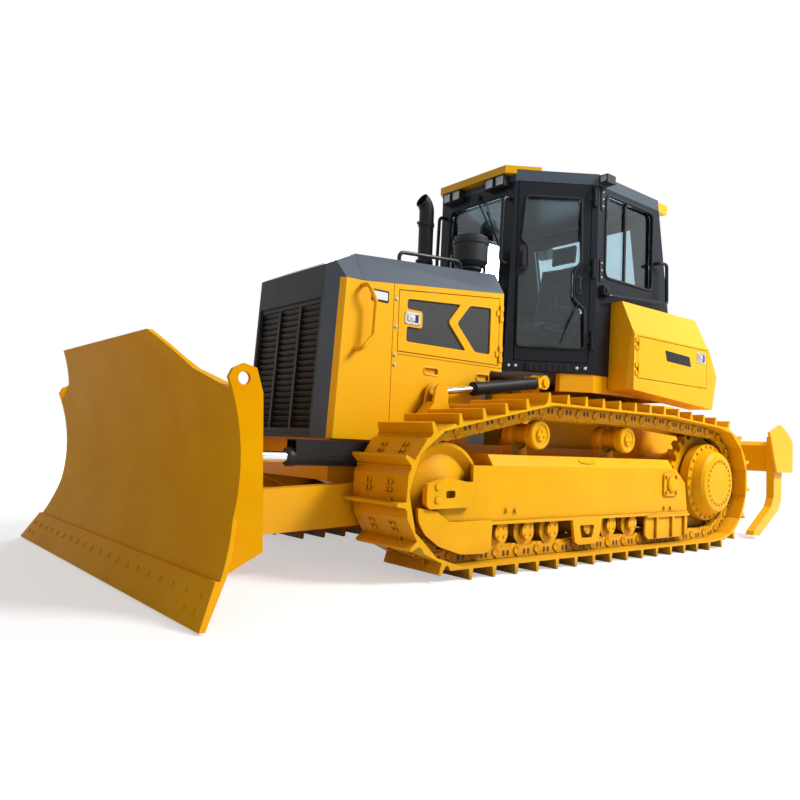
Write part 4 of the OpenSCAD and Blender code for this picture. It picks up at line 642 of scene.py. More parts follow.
boltPlan = {
    "panel": {"size": 0.011, "x": 1.586, "y": 0.5195, "z": (1.313, 1.377, 1.567, 1.754)},
    "driveCentre": (-1.527, 0.561),
    "drives": {"driveRing": {"size": 0.011, "radius": 0.309, "y": 1.080, "count": 24},
               "driveCover": {"size": 0.010, "radius": 0.187, "y": 1.184, "count": 26}},
    "edge": {"size": 0.016, "sides": 14, "profile": ((1, -0.002), (1, 0.002), (0.8, 0.005), (0.4, 0.007)),
             "lip": (3.331, 0.008), "slope": (0.1, 0.177), "facing": (0.87, 0, 0.49),
             "row": 0.62, "pitch": 0.146, "count": 20, "endRow": 0.30, "endY": (1.30, 1.40)},
}


def makeBolts(plan):
    panel = plan["panel"]
    spots = [(panel["x"], panel["y"], z) for z in panel["z"]]
    settleBolts("panelBolts", panel["size"], sideways(spots), "boltSteel")
    x, z = plan["driveCentre"]
    for key, ring in plan["drives"].items():
        spots = ringAt(x, ring["y"], z, ring["radius"], ring["count"], math.pi / ring["count"])
        settleBolts(key + "Bolts", ring["size"], sideways(spots), "undercarriageCoat")
    edge = plan["edge"]
    (lipX, lipZ), (back, rise) = edge["lip"], edge["slope"]
    half = (edge["count"] - 1) / 2
    marks = [(edge["row"], (i - half) * edge["pitch"]) for i in range(edge["count"])]
    marks += [(edge["endRow"], side * y) for side in (-1, 1) for y in edge["endY"]]
    bolt = startTurned("plowBolt", [(edge["size"] * r, h) for r, h in edge["profile"]], edge["sides"])
    places = [((lipX - back * t, y, lipZ + rise * t), edge["facing"]) for t, y in marks]
    settle(copyTo(bolt, "edgeBolts", places), "blade", "shadedBladeCoat")


makeBolts(boltPlan)

# bolts and pins that follow the track's loop, worked out in mm from the same wheels as the shoes
trackPlan = {"pitch": 203.2, "pinHeight": 126.0, "front": 1547.0, "rear": -1400.0, "idler": (1590.0, 502.0, 346.0),
             "sprocket": (-1527.0, 561.0), "teeth": 13, "run": (-700.0, 733.0, 1039.0), "plate": 61.0,
             "middle": 940.0, "rail": 98.0, "boltAlong": (-52, -8), "boltAcross": (-17, 17), "boltSize": 0.0125,
             "pinOut": {-1: 21, 1: 27},
             "pin": {"radius": 0.024, "depth": 0.012, "lift": 0.004, "rim": 0.45, "dish": 0.004}}


def loopMarks(plan):
    pinR = plan["pitch"] / (2 * math.sin(math.pi / plan["teeth"]))
    idler, sprocket, idlerR = Vector(plan["idler"][:2]), Vector(plan["sprocket"]), plan["idler"][2]

    def touch(p, c, r, side):  # where a line from a point meets a wheel
        d = c - p
        a = math.atan2(d.y, d.x) + side * math.asin(r / d.length)
        return p + math.sqrt(d.length_squared - r * r) * Vector((math.cos(a), math.sin(a)))

    def arc(c, r, start, end):
        a0, a1 = (math.atan2(q.y - c.y, q.x - c.x) for q in (start, end))
        turn = a0 - a1 + (2 * math.pi if a0 < a1 else 0)
        return ("arc", c, r, a0, turn * r)

    groundFront, groundRear = (Vector((plan[key], plan["pinHeight"])) for key in ("front", "rear"))
    runRear, runFront = (Vector((x, plan["run"][2])) for x in plan["run"][:2])
    a, b = touch(groundRear, sprocket, pinR, 1), touch(runRear, sprocket, pinR, -1)
    c, d = touch(runFront, idler, idlerR, 1), touch(groundFront, idler, idlerR, -1)
    legs = [("line", groundFront, groundRear), ("line", groundRear, a), arc(sprocket, pinR, a, b),
            ("line", b, runRear), ("line", runRear, runFront), ("line", runFront, c),
            arc(idler, idlerR, c, d), ("line", d, groundFront)]
    lengths = [leg[4] if leg[0] == "arc" else (leg[2] - leg[1]).length for leg in legs]
    count = round(sum(lengths) / plan["pitch"])
    marks = []
    for i in range(count):
        s, k = i * sum(lengths) / count, 0
        while s > lengths[k]:
            s, k = s - lengths[k], k + 1
        leg = legs[k]
        if leg[0] == "line":
            way = (leg[2] - leg[1]).normalized()
            marks.append((leg[1] + way * s, way))
        else:
            angle = leg[3] - s / leg[2]
            out = Vector((math.cos(angle), math.sin(angle)))
            marks.append((leg[1] + leg[2] * out, Vector((out.y, -out.x))))
    return marks


def inMetres(spot, y):
    return (spot.x / 1000, y / 1000, spot.y / 1000)


def makeTrackFittings(plan):
    bolts, pins = [], []
    for spot, way in loopMarks(plan):
        out = Vector((-way.y, way.x))
        for across in (-1, 1):
            for along in plan["boltAlong"]:
                at = spot + way * along + out * plan["plate"]
                for step in plan["boltAcross"]:
                    y = plan["middle"] + across * (plan["rail"] + step)
                    bolts.append((inMetres(at, y), (out.x, 0, out.y)))
            y = plan["middle"] + across * (plan["rail"] + plan["pinOut"][across])
            pins.append((inMetres(spot, y), (0, across, 0)))
    settleBolts("shoeBolts", plan["boltSize"], bolts, "undercarriageCoat")
    shape = plan["pin"]
    clearSelection()
    bpy.ops.mesh.primitive_cylinder_add(vertices=14, radius=shape["radius"], depth=shape["depth"],
                                        location=(0, 0, shape["lift"]))
    pin = bpy.context.object
    bpy.ops.object.transform_apply()
    setMode("EDIT")
    pickFaces(pin, lambda c, n: n.z > 0.9)
    bpy.ops.mesh.inset(thickness=shape["radius"] * shape["rim"])
    bpy.ops.transform.translate(value=(0, 0, -shape["dish"]))
    setMode("OBJECT")
    settle(copyTo(pin, "linkPins", mirrored(pins)), "tractor", "undercarriageCoat")


makeTrackFittings(trackPlan)
print("bolts and pins placed")

# cab walls: a point at a place along the wall, a height, and a depth below the outer face
wallPlan = {"door": (0.388, 0.397), "doorTurn": math.atan(0.7393),
            "front": {"x": 0.388, "z": 1.477, "lean": 0.0286}, "rear": {"x": -1.252, "z": 2.070, "lean": 0.203}}
doorOut = Vector((math.sin(wallPlan["doorTurn"]), math.cos(wallPlan["doorTurn"]), 0))


def onDoor(s, z, depth=0.0):
    x, y = wallPlan["door"]
    return (x - s * doorOut.y - depth * doorOut.x, y + s * doorOut.x - depth * doorOut.y, z)


def onFront(y, z, depth=0.0):
    wall = wallPlan["front"]
    return (wall["x"] - (z - wall["z"]) * wall["lean"] - depth, y, z)


def onRear(y, z, depth=0.0):
    wall = wallPlan["rear"]
    return (wall["x"] + (z - wall["z"]) * wall["lean"] + depth, y, z)


def doorPlate(name, outline, depth, push, rim):
    return startOutline(name, [onDoor(s, z, depth) for s, z in outline], doorOut * push, rim)


# seals round the panes, and the bar that parts the side window
sealPlan = {
    "bead": 0.011, "corner": 0.06, "doorCorner": 0.034, "doorProud": -0.002, "proud": -0.001, "sideY": 0.829,
    "doorWindow": [(0.095, 1.590), (0.095, 2.150), (0.165, 2.215), (0.165, 2.390), (0.112, 2.450), (0.140, 2.800),
                   (0.590, 2.800), (0.600, 2.290), (0.545, 2.215), (0.545, 1.985), (0.632, 1.905), (0.640, 1.590)],
    "side": ((-0.985, 2.190), (-0.300, 2.870)), "front": ((-0.310, 2.060), (0.310, 2.820)),
    "rear": ((-0.560, 2.120), (0.560, 2.850)),
    "bar": ((-0.609, 2.191), (-0.581, 2.869)), "barForm": (0.801, 0.018, 0.003)}


def makeSeals(plan):
    def seal(points):
        return tubeAlong("seal", points, plan["bead"], True, 3)

    door = rounded(plan["doorWindow"], plan["doorCorner"])
    settleBoth("doorSeal", [seal([onDoor(s, z, plan["doorProud"]) for s, z in door])], "rubberSeal", "cab_door")
    side, front, rear = (roundedBox(plan[key], plan["corner"]) for key in ("side", "front", "rear"))
    bar = sidePlate("sideBar", rectangle(*plan["bar"]), *plan["barForm"])
    settleBoth("sideSeals", [seal([(x, plan["sideY"], z) for x, z in side]), bar], "rubberSeal")
    ends = [seal([onFront(y, z, plan["proud"]) for y, z in front]),
            seal([onRear(y, z, plan["proud"]) for y, z in rear])]
    settleOne("endSeals", ends, "rubberSeal", 60)


makeSeals(sealPlan)

# door handle in the window's front cut-in, latch and lever, hinge straps and the open door's catch
# a plate has its box, corner, depth or Y, push and rim
doorFitPlan = {
    "plates": {"handle": (((0.098, 2.205), (0.156, 2.400)), 0.016, 0.002, 0.014, 0.004),
               "latch": (((0.556, 2.020), (0.600, 2.175)), 0.016, 0.002, 0.016, 0.004),
               "lever": (((0.112, 2.225), (0.142, 2.350)), 0.012, -0.010, 0.022, 0.005)},
    "pull": [(0.578, 2.150, -0.010), (0.578, 2.140, -0.040), (0.578, 2.060, -0.046), (0.578, 2.045, -0.012)],
    "pullRadius": 0.008, "straps": (2.815, 2.236), "strapX": (-0.268, -0.226), "strapHalf": 0.088,
    "strapForm": (0.014, 0.827, 0.009, 0.002),
    "boltSize": 0.0075, "boltY": 0.8355, "boltSteps": (-0.058, 0.0, 0.058),
    "holder": {"catch": (((-0.318, 2.035), (-0.238, 2.115)), 0.012, 0.827, 0.046, 0.006),
               "catchJaw": (((-0.298, 2.057), (-0.258, 2.093)), 0.008, 0.872, 0.012, 0.003)}}


def makeDoorFittings(plan):
    parts = []
    for key, (box, corner, *form) in plan["plates"].items():
        parts.append(doorPlate(key, roundedBox(box, corner), *form))
    pull = [onDoor(*point) for point in plan["pull"]]
    parts.append(tubeAlong("latchPull", pull, plan["pullRadius"], False, 3))
    settleBoth("doorHandle", parts, "mouldedPlastic", "cab_door")
    (x0, x1), half = plan["strapX"], plan["strapHalf"]
    corner, *form = plan["strapForm"]
    straps, spots = [], []
    for z in plan["straps"]:
        straps.append(sidePlate("strap", roundedBox(((x0, z - half), (x1, z + half)), corner), *form))
        spots += [((x0 + x1) / 2, plan["boltY"], z + step) for step in plan["boltSteps"]]
    for key, (box, corner, *form) in plan["holder"].items():
        straps.append(sidePlate(key, roundedBox(box, corner), *form))
    settleBoth("hingeStraps", straps, "blackCoat")
    settleBolts("strapBolts", plan["boltSize"], sideways(spots), "boltSteel")


makeDoorFittings(doorFitPlan)

# bolted sill under each door with its ribbed foot plate
sillPlan = {"bolts": (0.040, 0.095, 0.585, 0.650), "boltZ": 1.436, "boltDepth": 0.001, "boltSize": 0.012,
            "plate": ((0.170, 1.398), (0.520, 1.462)), "corner": 0.012, "form": (0.001, 0.017, 0.004),
            "ribs": 7, "ribInset": 0.03, "ribHalf": 0.005, "ribEnd": 0.010, "ribForm": (-0.015, 0.006, 0.002)}


def makeSill(plan):
    (s0, z0), (s1, z1) = plan["plate"]
    parts = [doorPlate("footPlate", roundedBox(plan["plate"], plan["corner"]), *plan["form"])]
    for i in range(plan["ribs"]):
        s = s0 + plan["ribInset"] + i * (s1 - s0 - 2 * plan["ribInset"]) / (plan["ribs"] - 1)
        low, high = (s - plan["ribHalf"], z0 + plan["ribEnd"]), (s + plan["ribHalf"], z1 - plan["ribEnd"])
        parts.append(doorPlate("rib", rectangle(low, high), *plan["ribForm"]))
    settleBoth("footPlates", parts, "blackCoat")
    places = [(onDoor(s, plan["boltZ"], plan["boltDepth"]), tuple(doorOut)) for s in plan["bolts"]]
    settleBolts("sillBolts", plan["boltSize"], places, "boltSteel")


makeSill(sillPlan)

# lamp lenses in their bezels: middle points, half sizes and the direction faced
lampPlan = {
    "lamps": {"front": ([(0.4095, y, 2.931) for y in (0.195, 0.310)], (0.043, 0.038), (1, 0, 0)),
              "roof": ([(-0.2005, 0.867, 2.967)], (0.031, 0.026), (1, 0, 0)),
              "rear": ([(-1.3395, 0.600, 2.833)], (0.050, 0.045), (-1, 0, 0))},
    "corner": 0.012, "bead": 0.004, "proud": 0.001, "lensShare": 0.95, "lensDepth": 0.003,
    "domeRise": 0.002, "domeShares": (0.80, 0.60)}


def makeLamps(plan):
    bezels, lenses = [], []
    for spots, (wide, tall), face in plan["lamps"].values():
        way = Vector(face)
        ring = [Vector((0, a, b)) for a, b in roundedBox(((-wide, -tall), (wide, tall)), plan["corner"])]
        for at in map(Vector, spots):
            bezels.append(tubeAlong("bezel", [at + way * plan["proud"] + p for p in ring], plan["bead"], True))
            inner = [at - way * plan["proud"] + p * plan["lensShare"] for p in ring]
            lens = startOutline("lens", inner, way * plan["lensDepth"])
            setMode("EDIT")
            pickFaces(lens, lambda c, n: n.dot(way) > 0.9)
            for share in plan["domeShares"]:
                pushOut(way * plan["domeRise"])
                bpy.ops.transform.resize(value=(1, share, share))
            setMode("OBJECT")
            lenses.append(lens)
    settleBoth("lampBezels", bezels, "mouldedPlastic")
    settleBoth("lampLenses", lenses, "lampLens", angle=15)


makeLamps(lampPlan)

# wipers on the windscreen and on the door panes: a line on the wall, its depth and its radius
wiperPlan = {"screenArm": ([(0.030, 2.872), (0.060, 2.790), (0.190, 2.560)], -0.020, 0.006),
             "screenBlade": ([(0.105, 2.740), (0.255, 2.420)], 0.024, 0.006),
             "pivot": [(0.020, -0.012), (0.020, 0.020), (0.012, 0.030)],
             "doorArm": ([(0.575, 1.950), (0.560, 1.900), (0.500, 1.770)], -0.016, 0.005),
             "doorBlade": ([(0.545, 1.880), (0.455, 1.640)], 0.016, 0.006),
             "doorLink": ([(0.500, 1.770, -0.016), (0.500, 1.760, 0.016)], 0.005)}


def makeWipers(plan):
    def onWall(wall, key):
        line, depth, radius = plan[key]
        return tubeAlong(key, [wall(a, z, depth) for a, z in line], radius)

    screen = [onWall(onFront, "screenArm"), onWall(onFront, "screenBlade")]
    pivot = standAt(startTurned("pivot", plan["pivot"], 16), onFront(*plan["screenArm"][0][0]), (1, 0, 0))
    settleOne("screenWiper", screen + [pivot], "mouldedPlastic")
    points, radius = plan["doorLink"]
    door = [onWall(onDoor, "doorArm"), onWall(onDoor, "doorBlade")]
    door.append(tubeAlong("doorLink", [onDoor(*point) for point in points], radius))
    settleBoth("doorWiper", door, "mouldedPlastic", "cab_door")


makeWipers(wiperPlan)

# thin rods that hang beside the rear lamps
rodPlan = {"radius": 0.006, "line": [(-1.250, 0.655, 2.830), (-1.250, 0.700, 2.830), (-1.256, 0.716, 2.812),
                                     (-1.262, 0.724, 2.500)]}
settleBoth("markerRods", [tubeAlong("rod", rodPlan["line"], rodPlan["radius"], False, 3)], "mouldedPlastic")
print("cab fittings made")

# silver latches of the engine and fender doors
# a part has its box in shares of the half size, corner, lift, push and rim
latchPlan = {
    "doors": {"engine": ((1.442, 0.5195, 1.641), (0.068, 0.043)),
              "fender": ((-1.430, 1.0495, 1.640), (0.070, 0.048))},
    "parts": {"Plate": (((-1, -1), (1, 1)), 0.012, 0, 0.006, 0.002),
              "Cup": (((-0.74, -0.62), (-0.18, 0.62)), 0.008, 0.005, 0.002, 0),
              "Paddle": (((-0.24, -0.52), (0.72, 0.52)), 0.008, 0.005, 0.010, 0.003)},
    "rivet": {"size": 0.0055, "shares": (0.84, 0.76), "lift": 0.006},
    "lock": {"share": 0.24, "lift": 0.010, "profile": [(0.010, 0.0), (0.010, 0.010), (0.007, 0.012)]}}


def makeLatches(plan):
    rivet, lock = plan["rivet"], plan["lock"]
    for key, ((x, y, z), (wide, tall)) in plan["doors"].items():
        for part, (box, corner, lift, push, rim) in plan["parts"].items():
            outline = roundedBox([(a * wide, b * tall) for a, b in box], corner)
            pieces = [sidePlate(part, [(x + a, z + b) for a, b in outline], y + lift, push, rim)]
            if part == "Plate":
                across, up = rivet["shares"][0] * wide, rivet["shares"][1] * tall
                spots = [(x + a * across, y + rivet["lift"], z + b * up) for a in (-1, 1) for b in (-1, 1)]
                pieces.append(copyTo(hexBolt(rivet["size"]), "rivets", sideways(spots)))
            if part == "Paddle":
                barrel = startTurned("lock", lock["profile"], 16)
                pieces.append(standAt(barrel, (x + wide * lock["share"], y + lock["lift"], z)))
            finishName = "mouldedPlastic" if part == "Cup" else "boltSteel"
            settleBoth(key + "Latch" + part, pieces, finishName, key + "_door")


makeLatches(latchPlan)

# plain plates: corner, Y, push and rim of each
platePlan = {"hood": ((1.655, 1.712), (1.798, 1.790)), "border": 0.012, "frameForm": (0.010, 0.519, 0.006, 0.002),
             "faceForm": (0.006, 0.5245, 0.0025, 0.001), "fenderForm": (0.008, 1.0495, 0.003, 0.001),
             "fender": [(-0.850, 1.645), (-1.235, 1.630), (-1.265, 1.545), (-0.880, 1.558)]}


def makePlates(plan):
    face = rectangle(*shrunk(plan["hood"], plan["border"], plan["border"]))
    for name, points, key, finishName, body in (
            ("plateFrames", rectangle(*plan["hood"]), "frameForm", "blackCoat", "tractor"),
            ("blankPlates", face, "faceForm", "boltSteel", "tractor"),
            ("fenderPlate", plan["fender"], "fenderForm", "blackCoat", "fender_door")):
        corner, *form = plan[key]
        settleBoth(name, [sidePlate(name, rounded(points, corner), *form)], finishName, body)


makePlates(platePlan)

# frames round the two hand slots below each engine door
slotPlan = {"x": (1.256, 0.745), "half": 0.066, "y": 0.520, "z": (1.271, 1.322), "corner": 0.02, "bead": 0.006}


def makeSlotFrames(plan):
    rings = []
    for x in plan["x"]:
        low, high = ((x + side * plan["half"], z) for side, z in zip((-1, 1), plan["z"]))
        outline = roundedBox((low, high), plan["corner"])
        rings.append(tubeAlong("ring", [(a, plan["y"], b) for a, b in outline], plan["bead"], True))
    settleBoth("slotFrames", rings, "yellowCoat")


makeSlotFrames(slotPlan)

# clamps on the exhaust pipe, measured from the pipe's face
stackPlan = {"pipe": (0.686, -0.250, 0.062), "clamps": (2.30, 2.62), "sides": 32,
             "profile": ((0.001, -0.016), (0.006, -0.014), (0.006, 0.014), (0.001, 0.016)),
             "lug": ((0.002, -0.010, -0.013), (0.034, 0.010, 0.013)), "lugRim": 0.004}


def makeStackFittings(plan):
    x, y, r = plan["pipe"]
    parts = []
    for z in plan["clamps"]:
        ring = startTurned("clamp", [(r + a, z + b) for a, b in plan["profile"]], plan["sides"])
        ring.data.transform(Matrix.Translation((x, y, 0)))
        low, high = ((x + r + a, y + b, z + c) for a, b, c in plan["lug"])
        parts += [ring, startBox("clampLug", low, high, plan["lugRim"])]
    settleOne("pipeClamps", parts, "blackCoat")


makeStackFittings(stackPlan)
print("hood fittings made")

# undercarriage: side plates of the links, with thin dark plates on their recesses as painted shade
linkPlan = {
    "face": 1.0595, "corner": 0.012, "depth": 0.008, "rim": 0.002,
    "shape": [(-0.004, -0.040), (0.030, -0.046), (0.060, -0.026), (0.143, -0.026), (0.173, -0.046),
              (0.199, -0.034), (0.199, 0.030), (0.182, 0.046), (0.020, 0.046), (-0.004, 0.028)],
    "pockets": (((0.066, -0.004), (0.090, 0.034)), ((0.106, -0.004), (0.130, 0.034))),
    "pocketCorner": 0.010, "pocketForm": (0.007, 0.0015)}


def makeLinks(plan, track):
    plate = levelPlate("link", rounded(plan["shape"], plan["corner"], 2), 0, plan["depth"], plan["rim"])
    # thin dark plates laid on the recesses: painted shade
    pockets = [levelPlate("pocket", roundedBox(box, plan["pocketCorner"], 2), *plan["pocketForm"])
               for box in plan["pockets"]]
    sources = {"trackLinks": plate, "linkPocketShade": joinPieces("pocket", pockets)}
    made = {key: [] for key in sources}
    for spot, way in loopMarks(track):
        turn = Matrix(((-way.x, -way.y, 0), (0, 0, 1), (-way.y, way.x, 0))).to_4x4()
        for key, source in sources.items():
            twin = twinOf(source)
            twin.data.transform(Matrix.Translation((spot.x / 1000, plan["face"], spot.y / 1000)) @ turn)
            made[key].append(twin)
    for source in sources.values():
        bpy.data.objects.remove(source)
    settleBoth("trackLinks", made["trackLinks"], "undercarriageCoat")
    settleBoth("linkPocketShade", made["linkPocketShade"], "linkRecessShade")


makeLinks(linkPlan, trackPlan)

# roller and frame bolts, the rear guard with its ribs, covers and plugs
# a form is Y, push and rim; a row of rollers is their X, Y, Z, and the radius, count and start of their bolts
frameFitPlan = {
    "guard": [(-0.500, 0.300), (-0.500, 0.150), (-0.545, 0.118), (-1.040, 0.118), (-1.130, 0.190), (-1.130, 0.300)],
    "guardCorner": 0.03, "guardForm": (1.1005, 0.016, 0.004), "ribs": (-0.640, -0.870, -1.060),
    "rib": ((-0.011, 1.112, 0.128), (0.011, 1.138, 0.296)), "lip": ((-1.130, 1.098, 0.290), (-0.500, 1.136, 0.308)),
    "boxRim": 0.004, "plate": ((-0.976, 0.450), (-0.765, 0.640)), "plateCorner": 0.035,
    "plateForm": (1.099, 0.016, 0.004), "hub": [(0.062, 0.0), (0.062, 0.012), (0.052, 0.020), (0.030, 0.022)],
    "plateFace": 1.114, "cover": (0.205, 1.066, 0.709), "coverHalf": (0.105, 0.018), "coverSides": 28,
    "coverPush": (0, 0.009, 0.009), "coverRim": 0.003, "plugs": ((1.720, 0.470), (1.720, 0.545)), "plugY": 1.139,
    "plug": [(0.020, 0.0), (0.020, 0.008), (0.012, 0.010)],
    "rollers": ((1.122, 0.864, 0.606, 0.205, -0.075, -0.350), 1.0995, 0.250, 0.038, 4, math.pi / 4),
    "carriers": ((0.733, -0.298), 1.0855, 0.885, 0.026, 3, math.pi / 2),
    "pairs": ((1.081, 0.391), (0.997, 0.388), (-0.789, 0.361), (-0.883, 0.358)), "pairY": 1.0995,
    "cornerIn": 0.032, "capSize": 0.007, "boltSize": 0.015}


def makeFrameFittings(plan):
    solids = [sidePlate("guard", rounded(plan["guard"], plan["guardCorner"]), *plan["guardForm"])]
    for x in plan["ribs"]:
        low, high = ((x + a, y, z) for a, y, z in plan["rib"])
        solids.append(startBox("rib", low, high, plan["boxRim"]))
    solids.append(startBox("guardLip", *plan["lip"], plan["boxRim"]))
    solids.append(sidePlate("plate", roundedBox(plan["plate"], plan["plateCorner"]), *plan["plateForm"]))
    (x0, z0), (x1, z1) = plan["plate"]
    hub = startTurned("hub", plan["hub"], 28)
    solids.append(standAt(hub, ((x0 + x1) / 2, plan["plateFace"], (z0 + z1) / 2)))
    (x, y, z), (wide, tall) = plan["cover"], plan["coverHalf"]
    turns = [2 * math.pi * k / plan["coverSides"] for k in range(plan["coverSides"])]
    oval = [(x + wide * math.cos(a), y - tall * math.sin(a), z + tall * math.sin(a)) for a in turns]
    solids.append(startOutline("cover", oval, plan["coverPush"], plan["coverRim"]))
    solids += [standAt(startTurned("plug", plan["plug"], 18), (x, plan["plugY"], z)) for x, z in plan["plugs"]]
    settleBoth("frameFittings", solids, "undercarriageCoat")
    caps = []
    for row, *ring in (plan["rollers"], plan["carriers"]):
        for x in row:
            caps += ringAt(x, *ring)
    settleBolts("capBolts", plan["capSize"], sideways(caps), "undercarriageCoat")
    (x0, z0), (x1, z1) = shrunk(plan["plate"], plan["cornerIn"], plan["cornerIn"])
    large = [(x, plan["pairY"], z) for x, z in plan["pairs"]]
    large += [(x, plan["plateFace"], z) for x in (x0, x1) for z in (z0, z1)]
    settleBolts("frameBolts", plan["boltSize"], sideways(large), "undercarriageCoat")


makeFrameFittings(frameFitPlan)
print("undercarriage fittings made")

# seat: crowned pads blown up as cloth, with piping, on a pedestal with bellows
seatPlan = {
    "voxel": 0.006, "pressure": 4.0, "frames": 20, "quality": 3, "cap": 0.024, "smooth": (0.5, 6), "fill": 0.75,
    "pads": {"seatCushion": (0.235, [(-0.740, 1.790), (-0.270, 1.800), (-0.265, 1.880), (-0.735, 1.878)]),
             "seatBack": (0.225, [(-0.655, 1.915), (-0.770, 1.915), (-0.860, 2.500), (-0.785, 2.500)]),
             "seatHead": (0.120, [(-0.800, 2.530), (-0.862, 2.530), (-0.878, 2.700), (-0.812, 2.700)])},
    "padCorner": 0.035, "padRim": 0.012, "piping": 0.006, "pipingFrom": (0.06, 0.05),
    "arms": ((-0.680, 0.268), (-0.310, 0.324)), "armCorner": 0.025, "armForm": (1.985, 0.060, 0.012),
    "armFill": 0.8,
    "foot": ((-0.700, -0.200), (-0.320, 0.200)), "footForm": (1.478, 0.150, 0.010), "footCorner": 0.05,
    "bellows": ((-0.685, -0.190), (-0.335, 0.190)), "folds": 5, "foldZ": 1.628, "foldRise": 0.030,
    "foldGrow": 0.012, "foldRim": 0.004,
    "post": [(-0.640, 1.478), (-0.520, 1.478), (-0.470, 1.984), (-0.560, 1.984)],
    "postY": 0.296, "postHalf": 0.018, "postForm": (0.036, 0.004)}


def inflate(piece, plan):
    piece.data.remesh_voxel_size = plan["voxel"]
    activate(piece)
    bpy.ops.object.voxel_remesh()
    start = [v.co.copy() for v in piece.data.vertices]
    cloth = piece.modifiers.new("cloth", "CLOTH")
    cloth.settings.use_pressure = True
    cloth.settings.uniform_pressure_force = plan["pressure"]
    cloth.settings.effector_weights.gravity = 0
    cloth.settings.quality = plan["quality"]
    for step in range(1, plan["frames"] + 1):
        bpy.context.scene.frame_set(step)
    shaped = piece.evaluated_get(bpy.context.evaluated_depsgraph_get()).data
    ends = [v.co.copy() for v in shaped.vertices]
    piece.modifiers.clear()
    for vert, a, b in zip(piece.data.vertices, start, ends):
        move = b - a
        vert.co = a + move * min(1, plan["cap"] / max(move.length, 1e-6))
    bpy.context.scene.frame_set(1)
    smooth = piece.modifiers.new("smooth", "SMOOTH")
    smooth.factor, smooth.iterations = plan["smooth"]
    bpy.ops.object.modifier_apply(modifier="smooth")
    smoothByAngle(piece, 80)


def makeSeat(plan):
    for name, (half, outline) in plan["pads"].items():
        line = rounded(outline, plan["padCorner"])
        pad = sidePlate(name, line, -half, 2 * half, plan["padRim"])
        inflate(pad, plan)
        settle(pad, "tractor", "seatCloth")
        ring = [Vector((x, 0, z)) for x, z in line]
        middle = sum(ring, Vector()) / len(ring)
        bpy.context.view_layer.update()
        beads = []
        out, beyond = plan["pipingFrom"]  # the line stands off the pad and is drawn in to it
        for s in (-1, 1):
            away = Vector((0, s * (half + beyond), 0))
            near = [pad.closest_point_on_mesh(p + (p - middle).normalized() * out + away)[1] for p in ring]
            beads.append(tubeAlong("bead", near, plan["piping"], True))
        settleOne(name + "Piping", beads, "rubberSeal", 60)
    rest = levelPlate("seatArms", roundedBox(plan["arms"], plan["armCorner"]), *plan["armForm"])
    settleBoth("seatArms", [rest], "seatCloth", angle=60)
    base = [levelPlate("pedestal", roundedBox(plan["foot"], plan["footCorner"]), *plan["footForm"])]
    for k in range(plan["folds"]):
        grow = plan["foldGrow"] if k % 2 else 0.0
        outline = roundedBox(shrunk(plan["bellows"], -grow, -grow), plan["footCorner"])
        z = plan["foldZ"] + plan["foldRise"] * k
        base.append(levelPlate("bellows", outline, z, plan["foldRise"], plan["foldRim"]))
    for s in (-1, 1):
        base.append(sidePlate("post", plan["post"], s * plan["postY"] - plan["postHalf"], *plan["postForm"]))
    settleOne("seatPedestal", base, "mouldedPlastic")
    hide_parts("seat")


makeSeat(seatPlan)
print("seat made")

# controls: a stick on each armrest and the screen on the dash
controlPlan = {
    "stick": [(-0.345, 0.296, 2.040), (-0.330, 0.296, 2.110), (-0.320, 0.296, 2.160)], "stickRadius": 0.011,
    "knob": ((-0.318, 0.296, 2.185),
             [(0.014, -0.045), (0.024, -0.030), (0.026, 0.0), (0.023, 0.025), (0.012, 0.036)]),
    "boot": ((-0.345, 0.296, 2.043),
             [(0.034, 0.0), (0.030, 0.012), (0.031, 0.020), (0.022, 0.034), (0.023, 0.042), (0.013, 0.060)]),
    "screen": ((-0.120, 2.036), (0.120, 2.180)), "screenCorner": 0.012, "screenX": 0.225, "lean": 0.2,
    "screenPush": (-0.028, 0, 0), "screenRim": 0.004}


def makeControls(plan):
    parts = [tubeAlong("stick", plan["stick"], plan["stickRadius"], False, 3)]
    for key in ("knob", "boot"):
        spot, profile = plan[key]
        parts.append(startTurned(key, profile, 18))
        parts[-1].data.transform(Matrix.Translation(spot))
    settleBoth("controlSticks", parts, "mouldedPlastic", angle=50)
    foot = plan["screen"][0][1]
    outline = roundedBox(plan["screen"], plan["screenCorner"])
    points = [(plan["screenX"] - (z - foot) * plan["lean"], y, z) for y, z in outline]
    panel = startOutline("panel", points, plan["screenPush"], plan["screenRim"])
    settleOne("dashScreen", [panel], "mouldedPlastic")


makeControls(controlPlan)
print("controls made")

# stage: a pale floor that runs into a white background, a broad key from the rear left and soft fill
white = (1, 1, 1, 1)
stagePlan = {"floor": 60.0, "floorZ": -0.002, "floorColour": (0.58, 0.585, 0.59, 1), "floorRough": 0.9,
             "near": 0.50, "clear": (3.6, 7.5), "fill": 0.30, "fillColour": (0.96, 0.98, 1.0, 1),
             "aim": (0.2, 0.2, 1.0),
             "panels": {"keyPanel": ((-5.0, 8.0, 9.0), (4.0, 3.0), 1700.0),
                        "backPanel": ((-6.0, -8.0, 6.0), (5.0, 4.0), 850.0)}}


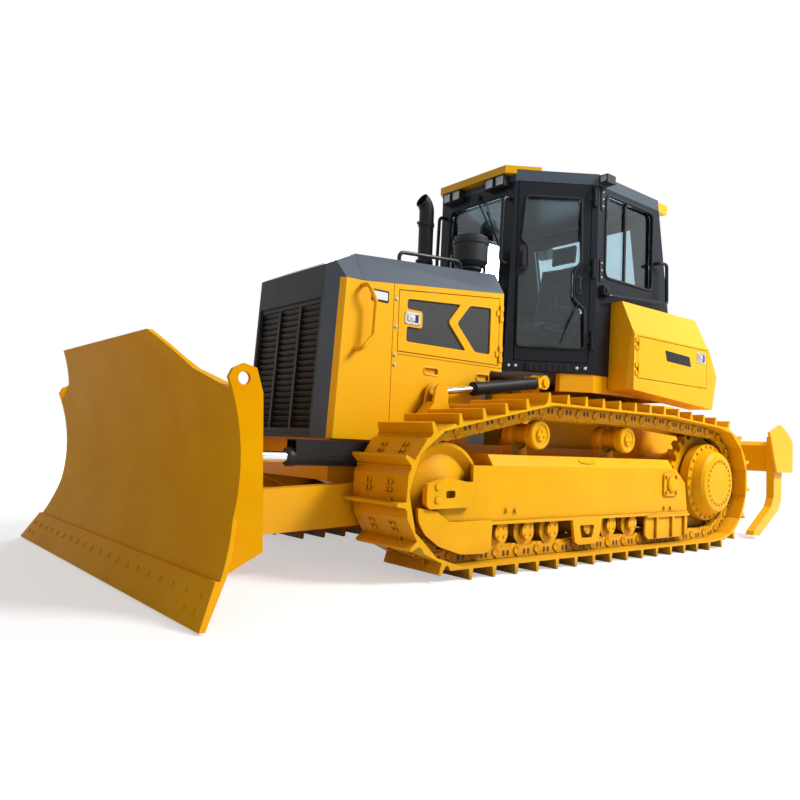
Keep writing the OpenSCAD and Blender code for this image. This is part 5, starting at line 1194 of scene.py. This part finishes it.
# 1 where a surface is seen straight, mirrored or through glass
def seenRays(tree):
    path = addNode(tree, "LightPath").outputs
    seen = mathNode(tree, "ADD", path["Is Camera Ray"], path["Is Glossy Ray"])
    return mathNode(tree, "ADD", seen, path["Is Transmission Ray"], True)


def makeFloor(plan):
    clearSelection()
    bpy.ops.mesh.primitive_plane_add(size=plan["floor"], location=(0, 0, plan["floorZ"]))
    floor = bpy.context.object
    floor.name = "studioFloor"
    setMode("EDIT")
    bpy.ops.mesh.subdivide(number_cuts=3)
    setMode("OBJECT")
    material, tree, shader = newMaterial("paleFloor")
    setInputs(tree, shader, {"Base Color": plan["floorColour"], "Roughness": plan["floorRough"]})
    away = addNode(tree, "VectorMath", {"operation": "LENGTH"}, {0: objectCoords(tree)}).outputs["Value"]
    fade = mapRange(tree, away, *plan["clear"], plan["near"], 1.0, "SMOOTHSTEP")
    level = mathNode(tree, "MULTIPLY", seenRays(tree), fade)
    glow = addNode(tree, "Emission", None, {"Color": white, "Strength": level})
    both = addNode(tree, "AddShader", None, {0: shader.outputs[0], 1: glow.outputs[0]})
    setInputs(tree, tree.nodes["Material Output"], {"Surface": both.outputs[0]})
    floor.data.materials.append(material)


def makeLight(plan):
    world = bpy.data.worlds.new("studioWorld")
    bpy.context.scene.world = world
    world.use_nodes = True
    sky = world.node_tree
    back = sky.nodes["Background"]
    setInputs(sky, back, {"Color": plan["fillColour"], "Strength": plan["fill"]})
    clear = addNode(sky, "Background", None, {"Color": white, "Strength": 1.0})
    both = addNode(sky, "MixShader", None, {0: seenRays(sky), 1: back.outputs[0], 2: clear.outputs[0]})
    setInputs(sky, sky.nodes["World Output"], {"Surface": both.outputs[0]})
    for name, (place, size, energy) in plan["panels"].items():
        clearSelection()
        bpy.ops.object.light_add(type="AREA", location=place)
        panel = bpy.context.object
        panel.name = name
        panel.data.shape = "RECTANGLE"
        panel.data.size, panel.data.size_y = size
        panel.data.energy = energy
        panel.rotation_euler = (Vector(plan["aim"]) - panel.location).to_track_quat("-Z", "Y").to_euler()


makeFloor(stagePlan)
makeLight(stagePlan)
bpy.context.scene.view_settings.view_transform = "Standard"
print("stage set")
